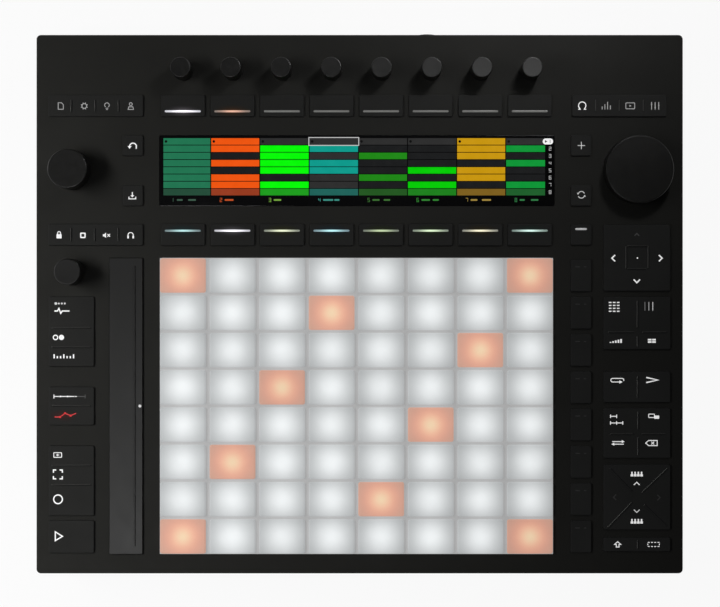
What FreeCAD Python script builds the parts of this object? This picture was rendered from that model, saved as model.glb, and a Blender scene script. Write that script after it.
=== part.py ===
import FreeCAD, Part
import os
import Sketcher
from FreeCAD import Vector

# Pad controller: a flat housing with an 8 x 8 pad grid, display, key islands,
# rotary knobs, a jog wheel, a touch strip and a row of sockets on its rear wall.
# Millimetres, +Z up, +Y towards the rear wall. The origin lies on the table
# under the middle of the whole object (the rear collar included).

os.makedirs("parts", exist_ok=True)
doc = FreeCAD.newDocument("pad_controller")

# ---------------------------------------------------------------- dimensions
sheet = doc.addObject("Spreadsheet::Sheet", "dims")

TABLE = [
    # housing
    ("body_w", 380.0, "housing width, X"),
    ("body_d", 316.6, "housing depth, Y, without the rear collar"),
    ("body_y", -0.9, "housing centre, half the collar's stand-out forward"),
    ("corner", 2.6, "plan corner radius"),
    ("wall", 3.0, "side wall"),
    ("panel_z", 31.0, "top face of the panel above the table"),
    ("panel_thk", 2.5, "panel thickness"),
    ("foot_h", 2.0, "stand-off of the feet"),
    ("edge_r", 0.8, "rounded top edge"),
    ("rebate", 1.5, "step in the wall's foot that takes the bottom plate"),
    ("plate_thk", 2.0, "bottom plate"),
    ("fit_gap", 0.2, "gap round a part let into the housing"),
    ("boss_r", 3.5, "screw boss"),
    ("post_r", 2.2, "board post"),
    # screws
    ("screw_r", 1.45, "M3 shank"),
    ("screw_head_r", 2.8, "countersunk head"),
    ("screw_head_h", 1.35, "countersunk head height"),
    ("screw_len", 11.0, "screw length"),
    ("screw_hole_r", 1.6, "clear hole in the plate, pilot in the boss"),
    # feet
    ("foot_r", 9.0, "foot radius"),
    ("foot_sink", 0.6, "foot's seat in the plate"),
    ("foot_x", 160.0, "outer feet, X"),
    ("foot_y", 132.0, "front and rear feet, Y"),
    # keys
    ("key_gap", 0.15, "gap round every key"),
    ("key_proud", 1.0, "key top above the panel"),
    ("key_deep", 4.8, "underside of a key below the panel top"),
    ("lip", 0.9, "retaining lip round the key's foot"),
    ("lip_h", 2.0, "lip height"),
    ("key_r", 1.0, "key plan corner"),
    ("key_edge", 0.35, "rounded top edge of a key"),
    ("rib_w", 1.0, "raised rib between two keys of one island"),
    ("rib_h", 0.6, "rib height"),
    ("light_l", 21.8, "light bar slot length"),
    ("light_w", 1.3, "light bar slot width"),
    ("light_deep", 0.35, "light bar slot depth"),
    # columns and rows
    ("col_x", -1.9, "middle of the eight columns"),
    ("col_pitch", 29.1, "column pitch"),
    ("row_y", -60.7, "middle of the eight pad rows"),
    ("row_pitch", 21.89, "row pitch"),
    # display keys
    ("dkey_w", 25.8, "display key width"),
    ("dkey_d", 12.7, "display key depth"),
    ("upper_y", 115.6, "upper display keys"),
    ("lower_y", 39.9, "lower display keys"),
    ("upper_light", -3.27, "light bar of an upper key, from its middle"),
    ("lower_light", 2.33, "light bar of a lower key, from its middle"),
    # row keys
    ("rkey_x", 129.95, "row keys"),
    ("rkey_w", 12.1, "row key width"),
    ("rkey_d", 18.6, "row key depth"),
    # pads
    ("mat_w", 230.9, "pad mat width in its window"),
    ("mat_d", 173.8, "pad mat depth in its window"),
    ("mat_r", 1.2, "mat corner"),
    ("mat_flange", 1.6, "mat flange under the panel"),
    ("mat_proud", 0.3, "web between the pads above the panel"),
    ("mat_low", 4.4, "underside of the mat below the panel top"),
    ("pad_w", 27.2, "pad width"),
    ("pad_d", 20.4, "pad depth"),
    ("pad_h", 1.4, "pad above the web"),
    # display
    ("disp_x", -1.6, "display middle X"),
    ("disp_y", 77.5, "display middle Y"),
    ("disp_w", 232.0, "display glass width"),
    ("disp_d", 41.3, "display glass depth"),
    ("glass_thk", 1.8, "display glass"),
    ("glass_step", 2.5, "ledge the glass is bonded to"),
    # strip
    ("strip_x", -137.2, "touch strip middle X"),
    ("strip_y", -60.7, "touch strip middle Y"),
    ("strip_w", 19.6, "touch strip width"),
    ("strip_d", 173.9, "touch strip length"),
    # rotary controls
    ("shaft_r", 3.0, "6 mm knob shaft"),
    ("bore_gap", 0.05, "running clearance round a shaft"),
    ("bush_r", 3.6, "encoder bush"),
    ("bush_top", 1.6, "bush above the panel"),
    ("hole_r", 4.0, "panel hole for a bush"),
    ("enc_y", 136.2, "encoder knobs Y"),
    ("enc_r", 5.93, "encoder knob radius"),
    ("knob_low", 0.8, "knob skirt above the panel"),
    ("knob_top", 13.0, "knob top above the panel"),
    ("vol_x", -169.2, "volume and tempo knobs X"),
    ("vol_y", 77.6, "volume knob Y"),
    ("vol_r", 11.5, "volume knob radius"),
    ("tempo_y", 17.9, "tempo knob Y"),
    ("tempo_r", 7.65, "tempo knob radius"),
    ("jog_x", 162.8, "jog wheel X"),
    ("jog_y", 77.6, "jog wheel Y"),
    ("jog_r", 19.85, "jog wheel radius"),
    ("jog_low", 1.4, "jog wheel skirt above the panel"),
    ("jog_top", 10.0, "jog wheel top above the panel"),
    ("sleeve_r", 5.0, "jog carrier outer radius"),
    # boards
    ("board_thk", 1.6, "circuit board"),
    ("board_top", 6.5, "key boards' top face below the panel top"),
    ("main_z", 9.9, "main board's underside above the table"),
    ("dome_r", 2.6, "dome switch"),
    ("dome_h", 0.7, "dome switch height"),
    # sockets
    ("socket_z", 17.0, "socket row above the table"),
    ("jack_r", 3.3, "6.35 mm jack bore"),
    ("jack_len", 15.0, "jack bore length behind the wall"),
    ("jack_nose_r", 5.0, "jack nose"),
    ("bore_in", 2.0, "straight bore inside a nose, before its flare"),
    ("jack_block", 18.0, "jack block behind the wall"),
    ("mini_r", 1.85, "3.5 mm jack bore"),
    ("mini_len", 11.0, "3.5 mm bore length behind the wall"),
    ("mini_nose_r", 3.0, "3.5 mm jack nose"),
    ("collar_r", 6.5, "collar of the headphone jack"),
    ("collar_out", 1.8, "collar beyond the rear wall"),
    ("socket_h", 11.0, "height of the socket blocks, which stand on the main board"),
    ("button_r", 4.2, "power button"),
]
for row, (alias, value, note) in enumerate(TABLE, start=2):
    sheet.set("A%d" % row, alias)
    sheet.set("B%d" % row, str(value))
    sheet.set("C%d" % row, note)
    sheet.setAlias("B%d" % row, alias)
doc.recompute()


class Cell:
    """A length or ratio: its number, and the expression over the sheet that gives it."""

    def __init__(self, text, value):
        self.text = text
        self.value = float(value)

    @staticmethod
    def of(other):
        return other if isinstance(other, Cell) else Cell(repr(float(other)), other)

    def _with(self, other, sign, value):
        return Cell("(%s %s %s)" % (self.text, sign, Cell.of(other).text), value)

    def __add__(self, o):
        return self._with(o, "+", self.value + Cell.of(o).value)

    def __sub__(self, o):
        return self._with(o, "-", self.value - Cell.of(o).value)

    def __mul__(self, o):
        return self._with(o, "*", self.value * Cell.of(o).value)

    def __truediv__(self, o):
        return self._with(o, "/", self.value / Cell.of(o).value)

    def __radd__(self, o):
        return Cell.of(o) + self

    def __rsub__(self, o):
        return Cell.of(o) - self

    def __rmul__(self, o):
        return Cell.of(o) * self

    def __neg__(self):
        return Cell("(0 - %s)" % self.text, -self.value)


class Sheet:
    def __getattr__(self, alias):
        return Cell("dims." + alias, sheet.get(alias))


d = Sheet()
num = lambda v: Cell.of(v).value


# ------------------------------------------------------------------- helpers
def bind(obj, path, value):
    """A cell drives the property; a plain number is simply set."""
    if isinstance(value, Cell):
        obj.setExpression(path, value.text)
    elif path.startswith(("Placement.Base.", "AttachmentOffset.Base.")):
        obj.setExpression(path, repr(float(value)))
    else:
        setattr(obj, path, float(value))


def place(obj, x=0.0, y=0.0, z=0.0):
    for axis, value in (("x", x), ("y", y), ("z", z)):
        bind(obj, "Placement.Base." + axis, value)


def new_body(label, x=0.0, y=0.0, z=0.0):
    body = doc.addObject("PartDesign::Body", label)
    body.Label = label
    place(body, x, y, z)
    return body


def new_sketch(body, name, x=0.0, y=0.0, z=0.0, role="XY_Plane"):
    plane = [o for o in body.Origin.OriginFeatures if o.Role == role][0]
    sk = body.newObject("Sketcher::SketchObject", body.Label + "_" + name)
    sk.AttachmentSupport = [(plane, "")]
    sk.MapMode = "FlatFace"
    for axis, value in (("x", x), ("y", y), ("z", z)):
        bind(sk, "AttachmentOffset.Base." + axis, value)
    return sk


class Rules(list):
    """Constraints of one outline, added to the sketch in one go."""

    def __init__(self, sk):
        super().__init__()
        self.sk = sk
        self.driven = {}

    def rule(self, *args):
        self.append(Sketcher.Constraint(*args))

    def dimension(self, value, *args):
        """A dimension: driven by the sheet where its value is a cell."""
        if isinstance(value, Cell):
            self.driven[len(self)] = value.text
        self.rule(*args)

    def pin_point(self, geo, pos, x, y):
        """Ties a point to the sketch's origin."""
        for kind, value, axis in (("DistanceX", x, -2), ("DistanceY", y, -1)):
            if abs(num(value)) < 1e-9:
                self.rule("PointOnObject", geo, pos, axis)
            else:
                self.dimension(value, kind, -1, 1, geo, pos, num(value))

    def add(self):
        first = self.sk.ConstraintCount
        self.sk.addConstraint(list(self))
        for index, text in self.driven.items():
            self.sk.setExpression("Constraints[%d]" % (first + index), text)


def rounded(sk, w, dd, r, cx=0.0, cy=0.0):
    """Rounded rectangle, centred at cx, cy."""
    W, D, R, X, Y = num(w) / 2, num(dd) / 2, num(r), num(cx), num(cy)
    P = lambda x, y: Vector(X + x, Y + y, 0)
    lines = [(P(-W + R, -D), P(W - R, -D)), (P(W, -D + R), P(W, D - R)),
             (P(W - R, D), P(-W + R, D)), (P(-W, D - R), P(-W, -D + R))]
    g = [sk.addGeometry(Part.LineSegment(a, b)) for a, b in lines]
    quarter = 1.5707963267948966
    centres = [(W - R, -D + R, -quarter), (W - R, D - R, 0.0),
               (-W + R, D - R, quarter), (-W + R, -D + R, 2 * quarter)]
    a = [sk.addGeometry(Part.ArcOfCircle(Part.Circle(P(x, y), Vector(0, 0, 1), R), t, t + quarter))
         for x, y, t in centres]
    mid = sk.addGeometry(Part.Point(P(0, 0)), True)
    rules = Rules(sk)
    for i in range(4):
        rules.rule("Tangent", g[i], 2, a[i], 1)
        rules.rule("Tangent", a[i], 2, g[(i + 1) % 4], 1)
        rules.rule("Vertical" if i % 2 else "Horizontal", g[i])
        if i:
            rules.rule("Equal", a[0], a[i])
    rules.rule("Symmetric", g[0], 1, g[2], 1, mid, 1)
    rules.pin_point(mid, 1, cx, cy)
    rules.dimension(r, "Radius", a[0], R)
    rules.dimension(w, "DistanceX", g[3], 1, g[1], 1, 2 * W)
    rules.dimension(dd, "DistanceY", g[0], 1, g[2], 1, 2 * D)
    rules.add()


def rectangle(sk, w, dd, cx=0.0, cy=0.0):
    """Plain rectangle, centred at cx, cy."""
    W, D, X, Y = num(w) / 2, num(dd) / 2, num(cx), num(cy)
    P = [Vector(X + x, Y + y, 0) for x, y in ((-W, -D), (W, -D), (W, D), (-W, D))]
    g = [sk.addGeometry(Part.LineSegment(P[i], P[(i + 1) % 4])) for i in range(4)]
    mid = sk.addGeometry(Part.Point(Vector(X, Y, 0)), True)
    rules = Rules(sk)
    for i in range(4):
        rules.rule("Coincident", g[i], 2, g[(i + 1) % 4], 1)
        rules.rule("Vertical" if i % 2 else "Horizontal", g[i])
    rules.rule("Symmetric", g[0], 1, g[2], 1, mid, 1)
    rules.pin_point(mid, 1, cx, cy)
    rules.dimension(w, "DistanceX", g[0], 1, g[0], 2, 2 * W)
    rules.dimension(dd, "DistanceY", g[1], 1, g[1], 2, 2 * D)
    rules.add()


def polygon(sk, points):
    """Closed outline through the points, each tied to the sketch's origin."""
    P = [Vector(num(x), num(y), 0) for x, y in points]
    n = len(P)
    g = [sk.addGeometry(Part.LineSegment(P[i], P[(i + 1) % n])) for i in range(n)]
    rules = Rules(sk)
    for i, (x, y) in enumerate(points):
        rules.rule("Coincident", g[i], 2, g[(i + 1) % n], 1)
        rules.pin_point(g[i], 1, x, y)
    rules.add()


def circles(sk, r, points):
    rules = Rules(sk)
    first = sk.addGeometry([Part.Circle(Vector(num(x), num(y), 0), Vector(0, 0, 1), num(r)) for x, y in points])[0]
    for c, (x, y) in enumerate(points, start=first):
        if c == first:
            rules.dimension(r, "Radius", c, num(r))
        else:
            rules.rule("Equal", first, c)
        rules.pin_point(c, 3, x, y)
    rules.add()


CUTS = []


def feature(body, kind, name, profile, length=None, **props):
    before = body.Tip
    f = body.newObject("PartDesign::" + kind, body.Label + "_" + name)
    f.Profile = profile
    f.Refine = False
    if length is not None:
        bind(f, "Length", length)
    for key, value in props.items():
        setattr(f, key, value)
    body.Tip = f
    if kind in ("Pocket", "Groove"):
        CUTS.append((f, before))
    return f


def pad(body, name, profile, length, **props):
    return feature(body, "Pad", name, profile, length, **props)


def pocket(body, name, profile, length, **props):
    return feature(body, "Pocket", name, profile, length, **props)


def revolve(body, name, profile):
    return feature(body, "Revolution", name, profile, ReferenceAxis=(profile, ["V_Axis"]), Angle=360.0)


def flat_faces(shape, normal, level, axis="z"):
    """Names of the flat faces with this normal at this height."""
    names = []
    for i, face in enumerate(shape.Faces, start=1):
        if face.Surface.TypeId != "Part::GeomPlane":
            continue
        n = face.normalAt(0, 0)
        c = getattr(face.CenterOfMass, axis)
        if n.dot(normal) > 0.999 and abs(c - level) < 1e-4:
            names.append("Face%d" % i)
    return names


def soften(body, name, radius, normal=Vector(0, 0, 1), level=None, axis="z"):
    """Rounds every edge of the flat faces that look along normal at that level."""
    doc.recompute()
    base = body.Tip
    names = flat_faces(base.Shape, normal, num(level), axis)
    if not names:
        raise RuntimeError("no face to soften on " + body.Label)
    f = body.newObject("PartDesign::Fillet", body.Label + "_" + name)
    f.Base = (base, names)
    f.Refine = False
    bind(f, "Radius", radius)
    body.Tip = f
    return f


def repeat(body, name, originals, sk, columns, dx, rows=1, dy=0.0, flip_x=False, flip_y=False):
    f = body.newObject("PartDesign::LinearPattern", body.Label + "_" + name)
    f.Originals = originals
    f.Refine = False
    f.Direction = (sk, ["H_Axis"])
    bind(f, "Length", dx)
    f.Occurrences = columns
    f.Reversed = flip_x
    if rows > 1:
        f.Direction2 = (sk, ["V_Axis"])
        bind(f, "Length2", dy)
        f.Occurrences2 = rows
        f.Reversed2 = flip_y
    body.Tip = f
    return f


nodes = {}


def keep(obj):
    nodes[obj.Label] = obj
    return obj


# ------------------------------------------------------------------ layout
under = d.panel_z - d.panel_thk          # the panel's underside
board_z = d.panel_z - d.board_top        # top face of the key boards
sensor_z = d.panel_z - d.mat_low - d.board_thk   # underside of the pad sensor board
inner_w = d.body_w - 2 * d.wall
inner_d = d.body_d - 2 * d.wall
column = lambda i: d.col_x + (i - 3.5) * d.col_pitch
row = lambda j: d.row_y + (3.5 - j) * d.row_pitch

# Islands: middle x, y, width, depth, and the ribs that part their keys.
# A rib is (middle x, middle y, length, upright?), a slanted one has its two ends.
ISLANDS = {
    "upper_left_bar": (-154.95, 115.6, 55.6, 12.7, [(-14.2, 0, 7.1, 1), (-0.3, 0, 7.1, 1), (13.4, 0, 7.1, 1)]),
    "upper_right_bar": (152.5, 115.6, 55.6, 12.7, [(-13.8, 0, 7.1, 1), (0.0, 0, 7.1, 1), (14.1, 0, 7.1, 1)]),
    "undo_key": (-133.2, 92.3, 12.0, 12.1, []),
    "save_key": (-133.2, 62.9, 12.0, 12.1, []),
    "plus_key": (129.95, 92.3, 12.0, 12.1, []),
    "swap_key": (129.95, 62.9, 12.0, 12.1, []),
    "lower_left_bar": (-154.9, 39.9, 55.4, 12.6, [(-14.4, 0, 7.9, 1), (-0.6, 0, 7.9, 1), (13.2, 0, 7.9, 1)]),
    "master_key": (129.95, 39.9, 12.1, 12.1, []),
    "direction_pad": (162.75, 26.3, 39.1, 38.7, [(-6.4, 0.2, 13.2, 1), (6.6, 0.2, 13.2, 1), (0.1, 6.9, 11.6, 0), (0.1, -6.5, 11.6, 0)]),
    "layout_block": (162.75, -12.0, 39.2, 30.6, [(0.2, 5.2, 16.2, 1), (0.2, -10.8, 6.6, 1), (-9.3, -5.3, 15.8, 0), (10.4, -5.3, 14.8, 0)]),
    "repeat_block": (162.75, -49.5, 39.1, 17.9, [(0.3, -0.1, 13.2, 1)]),
    "loop_block": (162.75, -76.6, 39.1, 29.1, [(0.5, 7.3, 10.6, 1), (0.5, -7.8, 10.9, 1), (-8.9, -0.4, 14.0, 0), (9.6, -0.4, 14.0, 0)]),
    "page_block": (162.75, -114.15, 39.1, 38.2, [(-16.0, 17.0, -3.0, 3.4), (17.8, 17.0, 2.8, 2.6), (-17.4, -18.0, -3.0, -3.0), (17.4, -17.0, 4.2, -4.2)]),
    "shift_block": (162.75, -141.95, 39.1, 8.0, [(0.3, 0, 5.3, 1)]),
    "tap_block": (-169.15, -17.0, 26.5, 41.1, [(0, 2.2, 23.2, 0), (0, -9.1, 23.2, 0)]),
    "automate_block": (-169.15, -60.65, 26.5, 22.4, [(0, 0.1, 22.9, 0)]),
    "record_block": (-169.15, -104.5, 26.5, 40.9, [(0, 9.0, 23.3, 0), (0, -2.4, 23.3, 0)]),
    "play_key": (-169.15, -137.4, 26.5, 19.1, []),
}

# Where a finger presses: one dome switch each, from the island's middle.
DOMES = {
    "upper_left_bar": [(-20.8, 0), (-7.2, 0), (6.5, 0), (20.5, 0)],
    "upper_right_bar": [(-20.8, 0), (-7.0, 0), (7.0, 0), (20.8, 0)],
    "undo_key": [(0, 0)], "save_key": [(0, 0)], "plus_key": [(0, 0)], "swap_key": [(0, 0)],
    "lower_left_bar": [(-20.8, 0), (-7.4, 0), (6.3, 0), (20.4, 0)],
    "master_key": [(0, 0)],
    "direction_pad": [(0, 0), (-13, 0), (13, 0), (0, 13), (0, -13)],
    "layout_block": [(-10, 5), (10, 5), (-10, -10.5), (10, -10.5)],
    "repeat_block": [(-10, 0), (10, 0)],
    "loop_block": [(-10, 7), (10, 7), (-10, -7), (10, -7)],
    "page_block": [(-12, 0), (12, 0), (0, 12), (0, -12)],
    "shift_block": [(-10, 0), (10, 0)],
    "tap_block": [(0, 11), (0, -3.5), (0, -15)],
    "automate_block": [(0, 5.5), (0, -5.5)],
    "record_block": [(0, 14.5), (0, 3.3), (0, -11)],
    "play_key": [(0, 0)],
}

SCREWS = [(-181.0, 148.6), (181.0, 148.6), (-62.0, 151.2), (66.0, 151.2),
          (-181.0, -152.0), (181.0, -152.0), (-60.0, -154.0), (60.0, -154.0),
          (-184.0, 56.5), (184.0, 56.5), (-184.0, -43.1), (184.0, -33.5)]
STANDOFFS = [(-140.0, 30.0), (-50.0, 30.0), (50.0, 30.0), (150.0, 30.0),
             (-140.0, 112.0), (-50.0, 112.0), (50.0, 112.0), (150.0, 112.0)]
TALL_POSTS = [(-90.0, -12.0), (0.0, -12.0), (90.0, -12.0), (0.0, -68.0),
              (-90.0, -118.0), (-30.0, -118.0), (30.0, -118.0), (90.0, -118.0)]
JACKS = [-100.0, -80.0, -44.0, -24.0, -2.0, 18.0]
PHONES = 40.0
MINIS = [84.0, 98.0]
OPTICAL = [-140.0, -122.0]
USB_A = 115.0
USB_C = 134.0
DC_IN = 152.0
POWER = 172.0

# ------------------------------------------------------------- top housing
housing = keep(new_body("top_housing", 0.0, d.body_y, 0.0))
sk = new_sketch(housing, "outline", z=d.foot_h)
rounded(sk, d.body_w, d.body_d, d.corner)
pad(housing, "block", sk, d.panel_z - d.foot_h)
soften(housing, "top_edge", d.edge_r, level=d.panel_z)

sk = new_sketch(housing, "hollow_outline", z=d.foot_h)
rounded(sk, inner_w, inner_d, 2.0)
pocket(housing, "hollow", sk, under - d.foot_h, Reversed=True)

sk = new_sketch(housing, "rebate_outline", z=d.foot_h)
rounded(sk, d.body_w - 2 * d.rebate, d.body_d - 2 * d.rebate, 1.6)
pocket(housing, "plate_rebate", sk, d.plate_thk, Reversed=True)

# windows for the display keys: one, then its columns
for which, yy in (("upper", d.upper_y), ("lower", d.lower_y)):
    sk = new_sketch(housing, which + "_key_outline", x=column(0), y=yy - d.body_y, z=d.panel_z)
    rounded(sk, d.dkey_w + 2 * d.key_gap, d.dkey_d + 2 * d.key_gap, d.key_r + d.key_gap)
    first = pocket(housing, which + "_key_window", sk, d.panel_thk + 0.5)
    doc.recompute()
    repeat(housing, which + "_key_windows", [first], sk, 8, d.col_pitch * 7)

sk = new_sketch(housing, "row_key_outline", x=d.rkey_x, y=row(7) - d.body_y, z=d.panel_z)
rounded(sk, d.rkey_w + 2 * d.key_gap, d.rkey_d + 2 * d.key_gap, d.key_r + d.key_gap)
first = pocket(housing, "row_key_window", sk, d.panel_thk + 0.5)
doc.recompute()
f = housing.newObject("PartDesign::LinearPattern", "top_housing_row_key_windows")
f.Originals = [first]
f.Refine = False
f.Direction = (sk, ["V_Axis"])
bind(f, "Length", d.row_pitch * 7)
f.Occurrences = 8
housing.Tip = f

# windows for the islands, the pad mat and the touch strip
names = list(ISLANDS)
for k in range(0, len(names), 3):
    sk = new_sketch(housing, "island_outlines_%d" % (k // 3 + 1), z=d.panel_z)
    for name in names[k:k + 3]:
        x, y, w, dd, ribs = ISLANDS[name]
        rounded(sk, w + 2 * d.key_gap, dd + 2 * d.key_gap, d.key_r + d.key_gap, x, y - d.body_y)
    pocket(housing, "island_windows_%d" % (k // 3 + 1), sk, d.panel_thk + 0.5)
sk = new_sketch(housing, "mat_outline", z=d.panel_z)
rounded(sk, d.mat_w + 2 * d.fit_gap, d.mat_d + 2 * d.fit_gap, d.mat_r + d.fit_gap, d.col_x, d.row_y - d.body_y)
rounded(sk, d.strip_w + 2 * d.fit_gap, d.strip_d + 2 * d.fit_gap, d.key_r, d.strip_x, d.strip_y - d.body_y)
pocket(housing, "mat_window", sk, d.panel_thk + 0.5)
sk = new_sketch(housing, "glass_outline", x=d.disp_x, y=d.disp_y - d.body_y, z=d.panel_z)
rounded(sk, d.disp_w + 2 * d.fit_gap, d.disp_d + 2 * d.fit_gap, d.key_r)
pocket(housing, "glass_seat", sk, d.glass_thk)
sk = new_sketch(housing, "module_outline", x=d.disp_x, y=d.disp_y - d.body_y, z=d.panel_z)
rounded(sk, d.disp_w - 2 * d.glass_step, d.disp_d - 2 * d.glass_step, d.key_r)
pocket(housing, "module_window", sk, d.panel_thk + 0.5)

# holes for the rotary controls
sk = new_sketch(housing, "rotary_holes", z=d.panel_z)
circles(sk, d.hole_r, [(column(i), d.enc_y - d.body_y) for i in range(8)]
        + [(d.vol_x, d.vol_y - d.body_y), (d.vol_x, d.tempo_y - d.body_y)])
circles(sk, d.sleeve_r + 1.6, [(d.jog_x, d.jog_y - d.body_y)])
pocket(housing, "rotary_holes_cut", sk, d.panel_thk + 0.5)

# screw bosses down to the plate, and short posts that hold the boards
sk = new_sketch(housing, "boss_circles", z=d.foot_h + d.plate_thk)
circles(sk, d.boss_r, SCREWS)
pad(housing, "bosses", sk, under - d.foot_h - d.plate_thk + 0.2)
sk = new_sketch(housing, "pilot_circles", z=d.foot_h + d.plate_thk)
circles(sk, d.screw_hole_r, SCREWS)
pocket(housing, "pilots", sk, 10.0, Reversed=True)
sk = new_sketch(housing, "post_circles", z=board_z)
circles(sk, d.post_r, [(-150.0, 142.0 - 9.0), (150.0, 142.0 - 9.0), (-152.0, 99.5), (152.0, 104.5),
                       (-147.5, 79.0), (147.0, 51.4), (-152.2, 10.0), (-152.2, -80.0), (-152.2, -140.0),
                       (139.6, -20.0), (139.6, -90.0), (139.6, -142.0), (-118.0, 52.0), (119.5, 52.0)])
pad(housing, "board_posts", sk, under - board_z + 0.2)

# rear wall: sockets and power button
yr = d.body_d / 2
sk = new_sketch(housing, "round_socket_holes", z=-yr, role="XZ_Plane")
circles(sk, d.jack_nose_r + 0.2, [(x, d.socket_z) for x in JACKS + [PHONES]])
circles(sk, d.mini_nose_r + 0.2, [(x, d.socket_z) for x in MINIS])
circles(sk, 4.2, [(DC_IN, d.socket_z)])
circles(sk, d.button_r + 0.35, [(POWER, d.socket_z)])
pocket(housing, "round_holes", sk, d.wall + 0.2, Reversed=True, TaperAngle=-1.5)  # mould draft
sk = new_sketch(housing, "square_socket_holes", z=-yr, role="XZ_Plane")
for x in OPTICAL:
    rectangle(sk, 10.4, 10.4, x, d.socket_z)
rectangle(sk, 14.6, 7.0, USB_A, d.socket_z)
rounded(sk, 10.4, 4.6, 2.0, USB_C, d.socket_z)
pocket(housing, "square_holes", sk, d.wall + 0.2, Reversed=True)

# ------------------------------------------------------------ bottom plate
plate = keep(new_body("bottom_plate", 0.0, d.body_y, 0.0))
sk = new_sketch(plate, "outline", z=d.foot_h)
rounded(sk, d.body_w - 2 * d.rebate - 2 * d.fit_gap, d.body_d - 2 * d.rebate - 2 * d.fit_gap, 1.4)
pad(plate, "sheet", sk, d.plate_thk)
sk = new_sketch(plate, "standoff_circles", z=d.foot_h + d.plate_thk)
circles(sk, d.boss_r, STANDOFFS)
pad(plate, "standoffs", sk, d.main_z - d.foot_h - d.plate_thk)
sk = new_sketch(plate, "tall_post_circles", z=d.foot_h + d.plate_thk)
circles(sk, d.boss_r, TALL_POSTS)
pad(plate, "tall_posts", sk, sensor_z - d.foot_h - d.plate_thk)
sk = new_sketch(plate, "screw_circles", z=d.foot_h)
circles(sk, d.screw_hole_r, SCREWS)
pocket(plate, "screw_holes", sk, d.plate_thk, Reversed=True)
sk = new_sketch(plate, "countersink_circles", z=d.foot_h)
circles(sk, d.screw_head_r + 0.1, SCREWS)
pocket(plate, "countersinks", sk, d.screw_head_h, Reversed=True, TaperAngle=-45.0)
FEET = [(sx * d.foot_x, sy * d.foot_y) for sy in (-1, 1) for sx in (-1, 0, 1)]
sk = new_sketch(plate, "foot_circles", z=d.foot_h)
circles(sk, d.foot_r + 0.15, FEET)
pocket(plate, "foot_seats", sk, d.foot_sink, Reversed=True)
for side, x0 in (("left", -133.0), ("right", 37.0)):
    sk = new_sketch(plate, side + "_vent_outline", x=x0, y=70.0, z=d.foot_h)
    rounded(sk, 2.4, 26.0, 1.15)
    first = pocket(plate, side + "_vent", sk, d.plate_thk, Reversed=True)
    doc.recompute()
    repeat(plate, side + "_vents", [first], sk, 13, 8.0 * 12)

# ------------------------------------------------------------- rubber feet
feet = keep(new_body("rubber_feet", 0.0, d.body_y, 0.0))
sk = new_sketch(feet, "circles")
circles(sk, d.foot_r, FEET)
pad(feet, "discs", sk, d.foot_h + d.foot_sink)
soften(feet, "round", 0.5, normal=Vector(0, 0, -1), level=0.0)

# -------------------------------------------------------------- case screws
screws = keep(new_body("case_screws", 0.0, d.body_y, 0.0))
sk = new_sketch(screws, "shank_circles", z=d.foot_h)
circles(sk, d.screw_r, SCREWS)
pad(screws, "shanks", sk, d.screw_len)
sk = new_sketch(screws, "head_circles", z=d.foot_h)
circles(sk, d.screw_head_r, SCREWS)
pad(screws, "heads", sk, d.screw_head_h, TaperAngle=-45.0)
sk = new_sketch(screws, "drive_outlines", z=d.foot_h)
for x, y in SCREWS:
    polygon(sk, [(x + 1.0 * c, y + 1.0 * s) for c, s in
                 ((1, 0), (0.5, 0.866), (-0.5, 0.866), (-1, 0), (-0.5, -0.866), (0.5, -0.866))])
pocket(screws, "drives", sk, 1.1, Reversed=True)


# -------------------------------------------------------------------- keys
def make_key(label, x, y, w, dd, light=None, ribs=()):
    """A cap that stands proud of its window, with a lip under the panel that stops it."""
    body = keep(new_body(label, x, y, d.panel_z))
    sk = new_sketch(body, "lip_outline", z=-d.key_deep)
    rounded(sk, w + 2 * d.lip, dd + 2 * d.lip, d.key_r + d.lip)
    pad(body, "lip", sk, d.lip_h)
    sk = new_sketch(body, "cap_outline", z=-d.key_deep)
    rounded(sk, w, dd, d.key_r)
    pad(body, "cap", sk, d.key_deep + d.key_proud)
    soften(body, "edge", d.key_edge, level=d.key_proud)
    if light is not None:
        sk = new_sketch(body, "light_outline", z=d.key_proud)
        rounded(sk, light[1], d.light_w, 0.5, 0.0, light[0])
        pocket(body, "light_slot", sk, d.light_deep)
    if ribs:
        sk = new_sketch(body, "rib_outlines", z=d.key_proud - 0.1)
        for rib in ribs:
            if rib[3] in (0, 1):
                rx, ry, length, upright = rib
                if upright:
                    rounded(sk, d.rib_w, length, d.rib_w / 2 - 0.02, rx, ry)
                else:
                    rounded(sk, length, d.rib_w, d.rib_w / 2 - 0.02, rx, ry)
            else:
                (x0, y0, x1, y1) = rib
                u = Vector(x1 - x0, y1 - y0, 0)
                u.normalize()
                n = Vector(-u.y, u.x, 0) * (num(d.rib_w) / 2)
                polygon(sk, [(x0 - n.x, y0 - n.y), (x1 - n.x, y1 - n.y), (x1 + n.x, y1 + n.y), (x0 + n.x, y0 + n.y)])
        pad(body, "ribs", sk, d.rib_h + 0.1, TaperAngle=-25.0)
    return body


for i in range(8):
    make_key("upper_display_key_%d" % (i + 1), column(i), d.upper_y, d.dkey_w, d.dkey_d, (d.upper_light, d.light_l))
for i in range(8):
    make_key("lower_display_key_%d" % (i + 1), column(i), d.lower_y, d.dkey_w, d.dkey_d, (d.lower_light, d.light_l))
for name, (x, y, w, dd, ribs) in ISLANDS.items():
    make_key(name, x, y, w, dd, (3.3, 7.0) if name == "master_key" else None, ribs)

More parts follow.
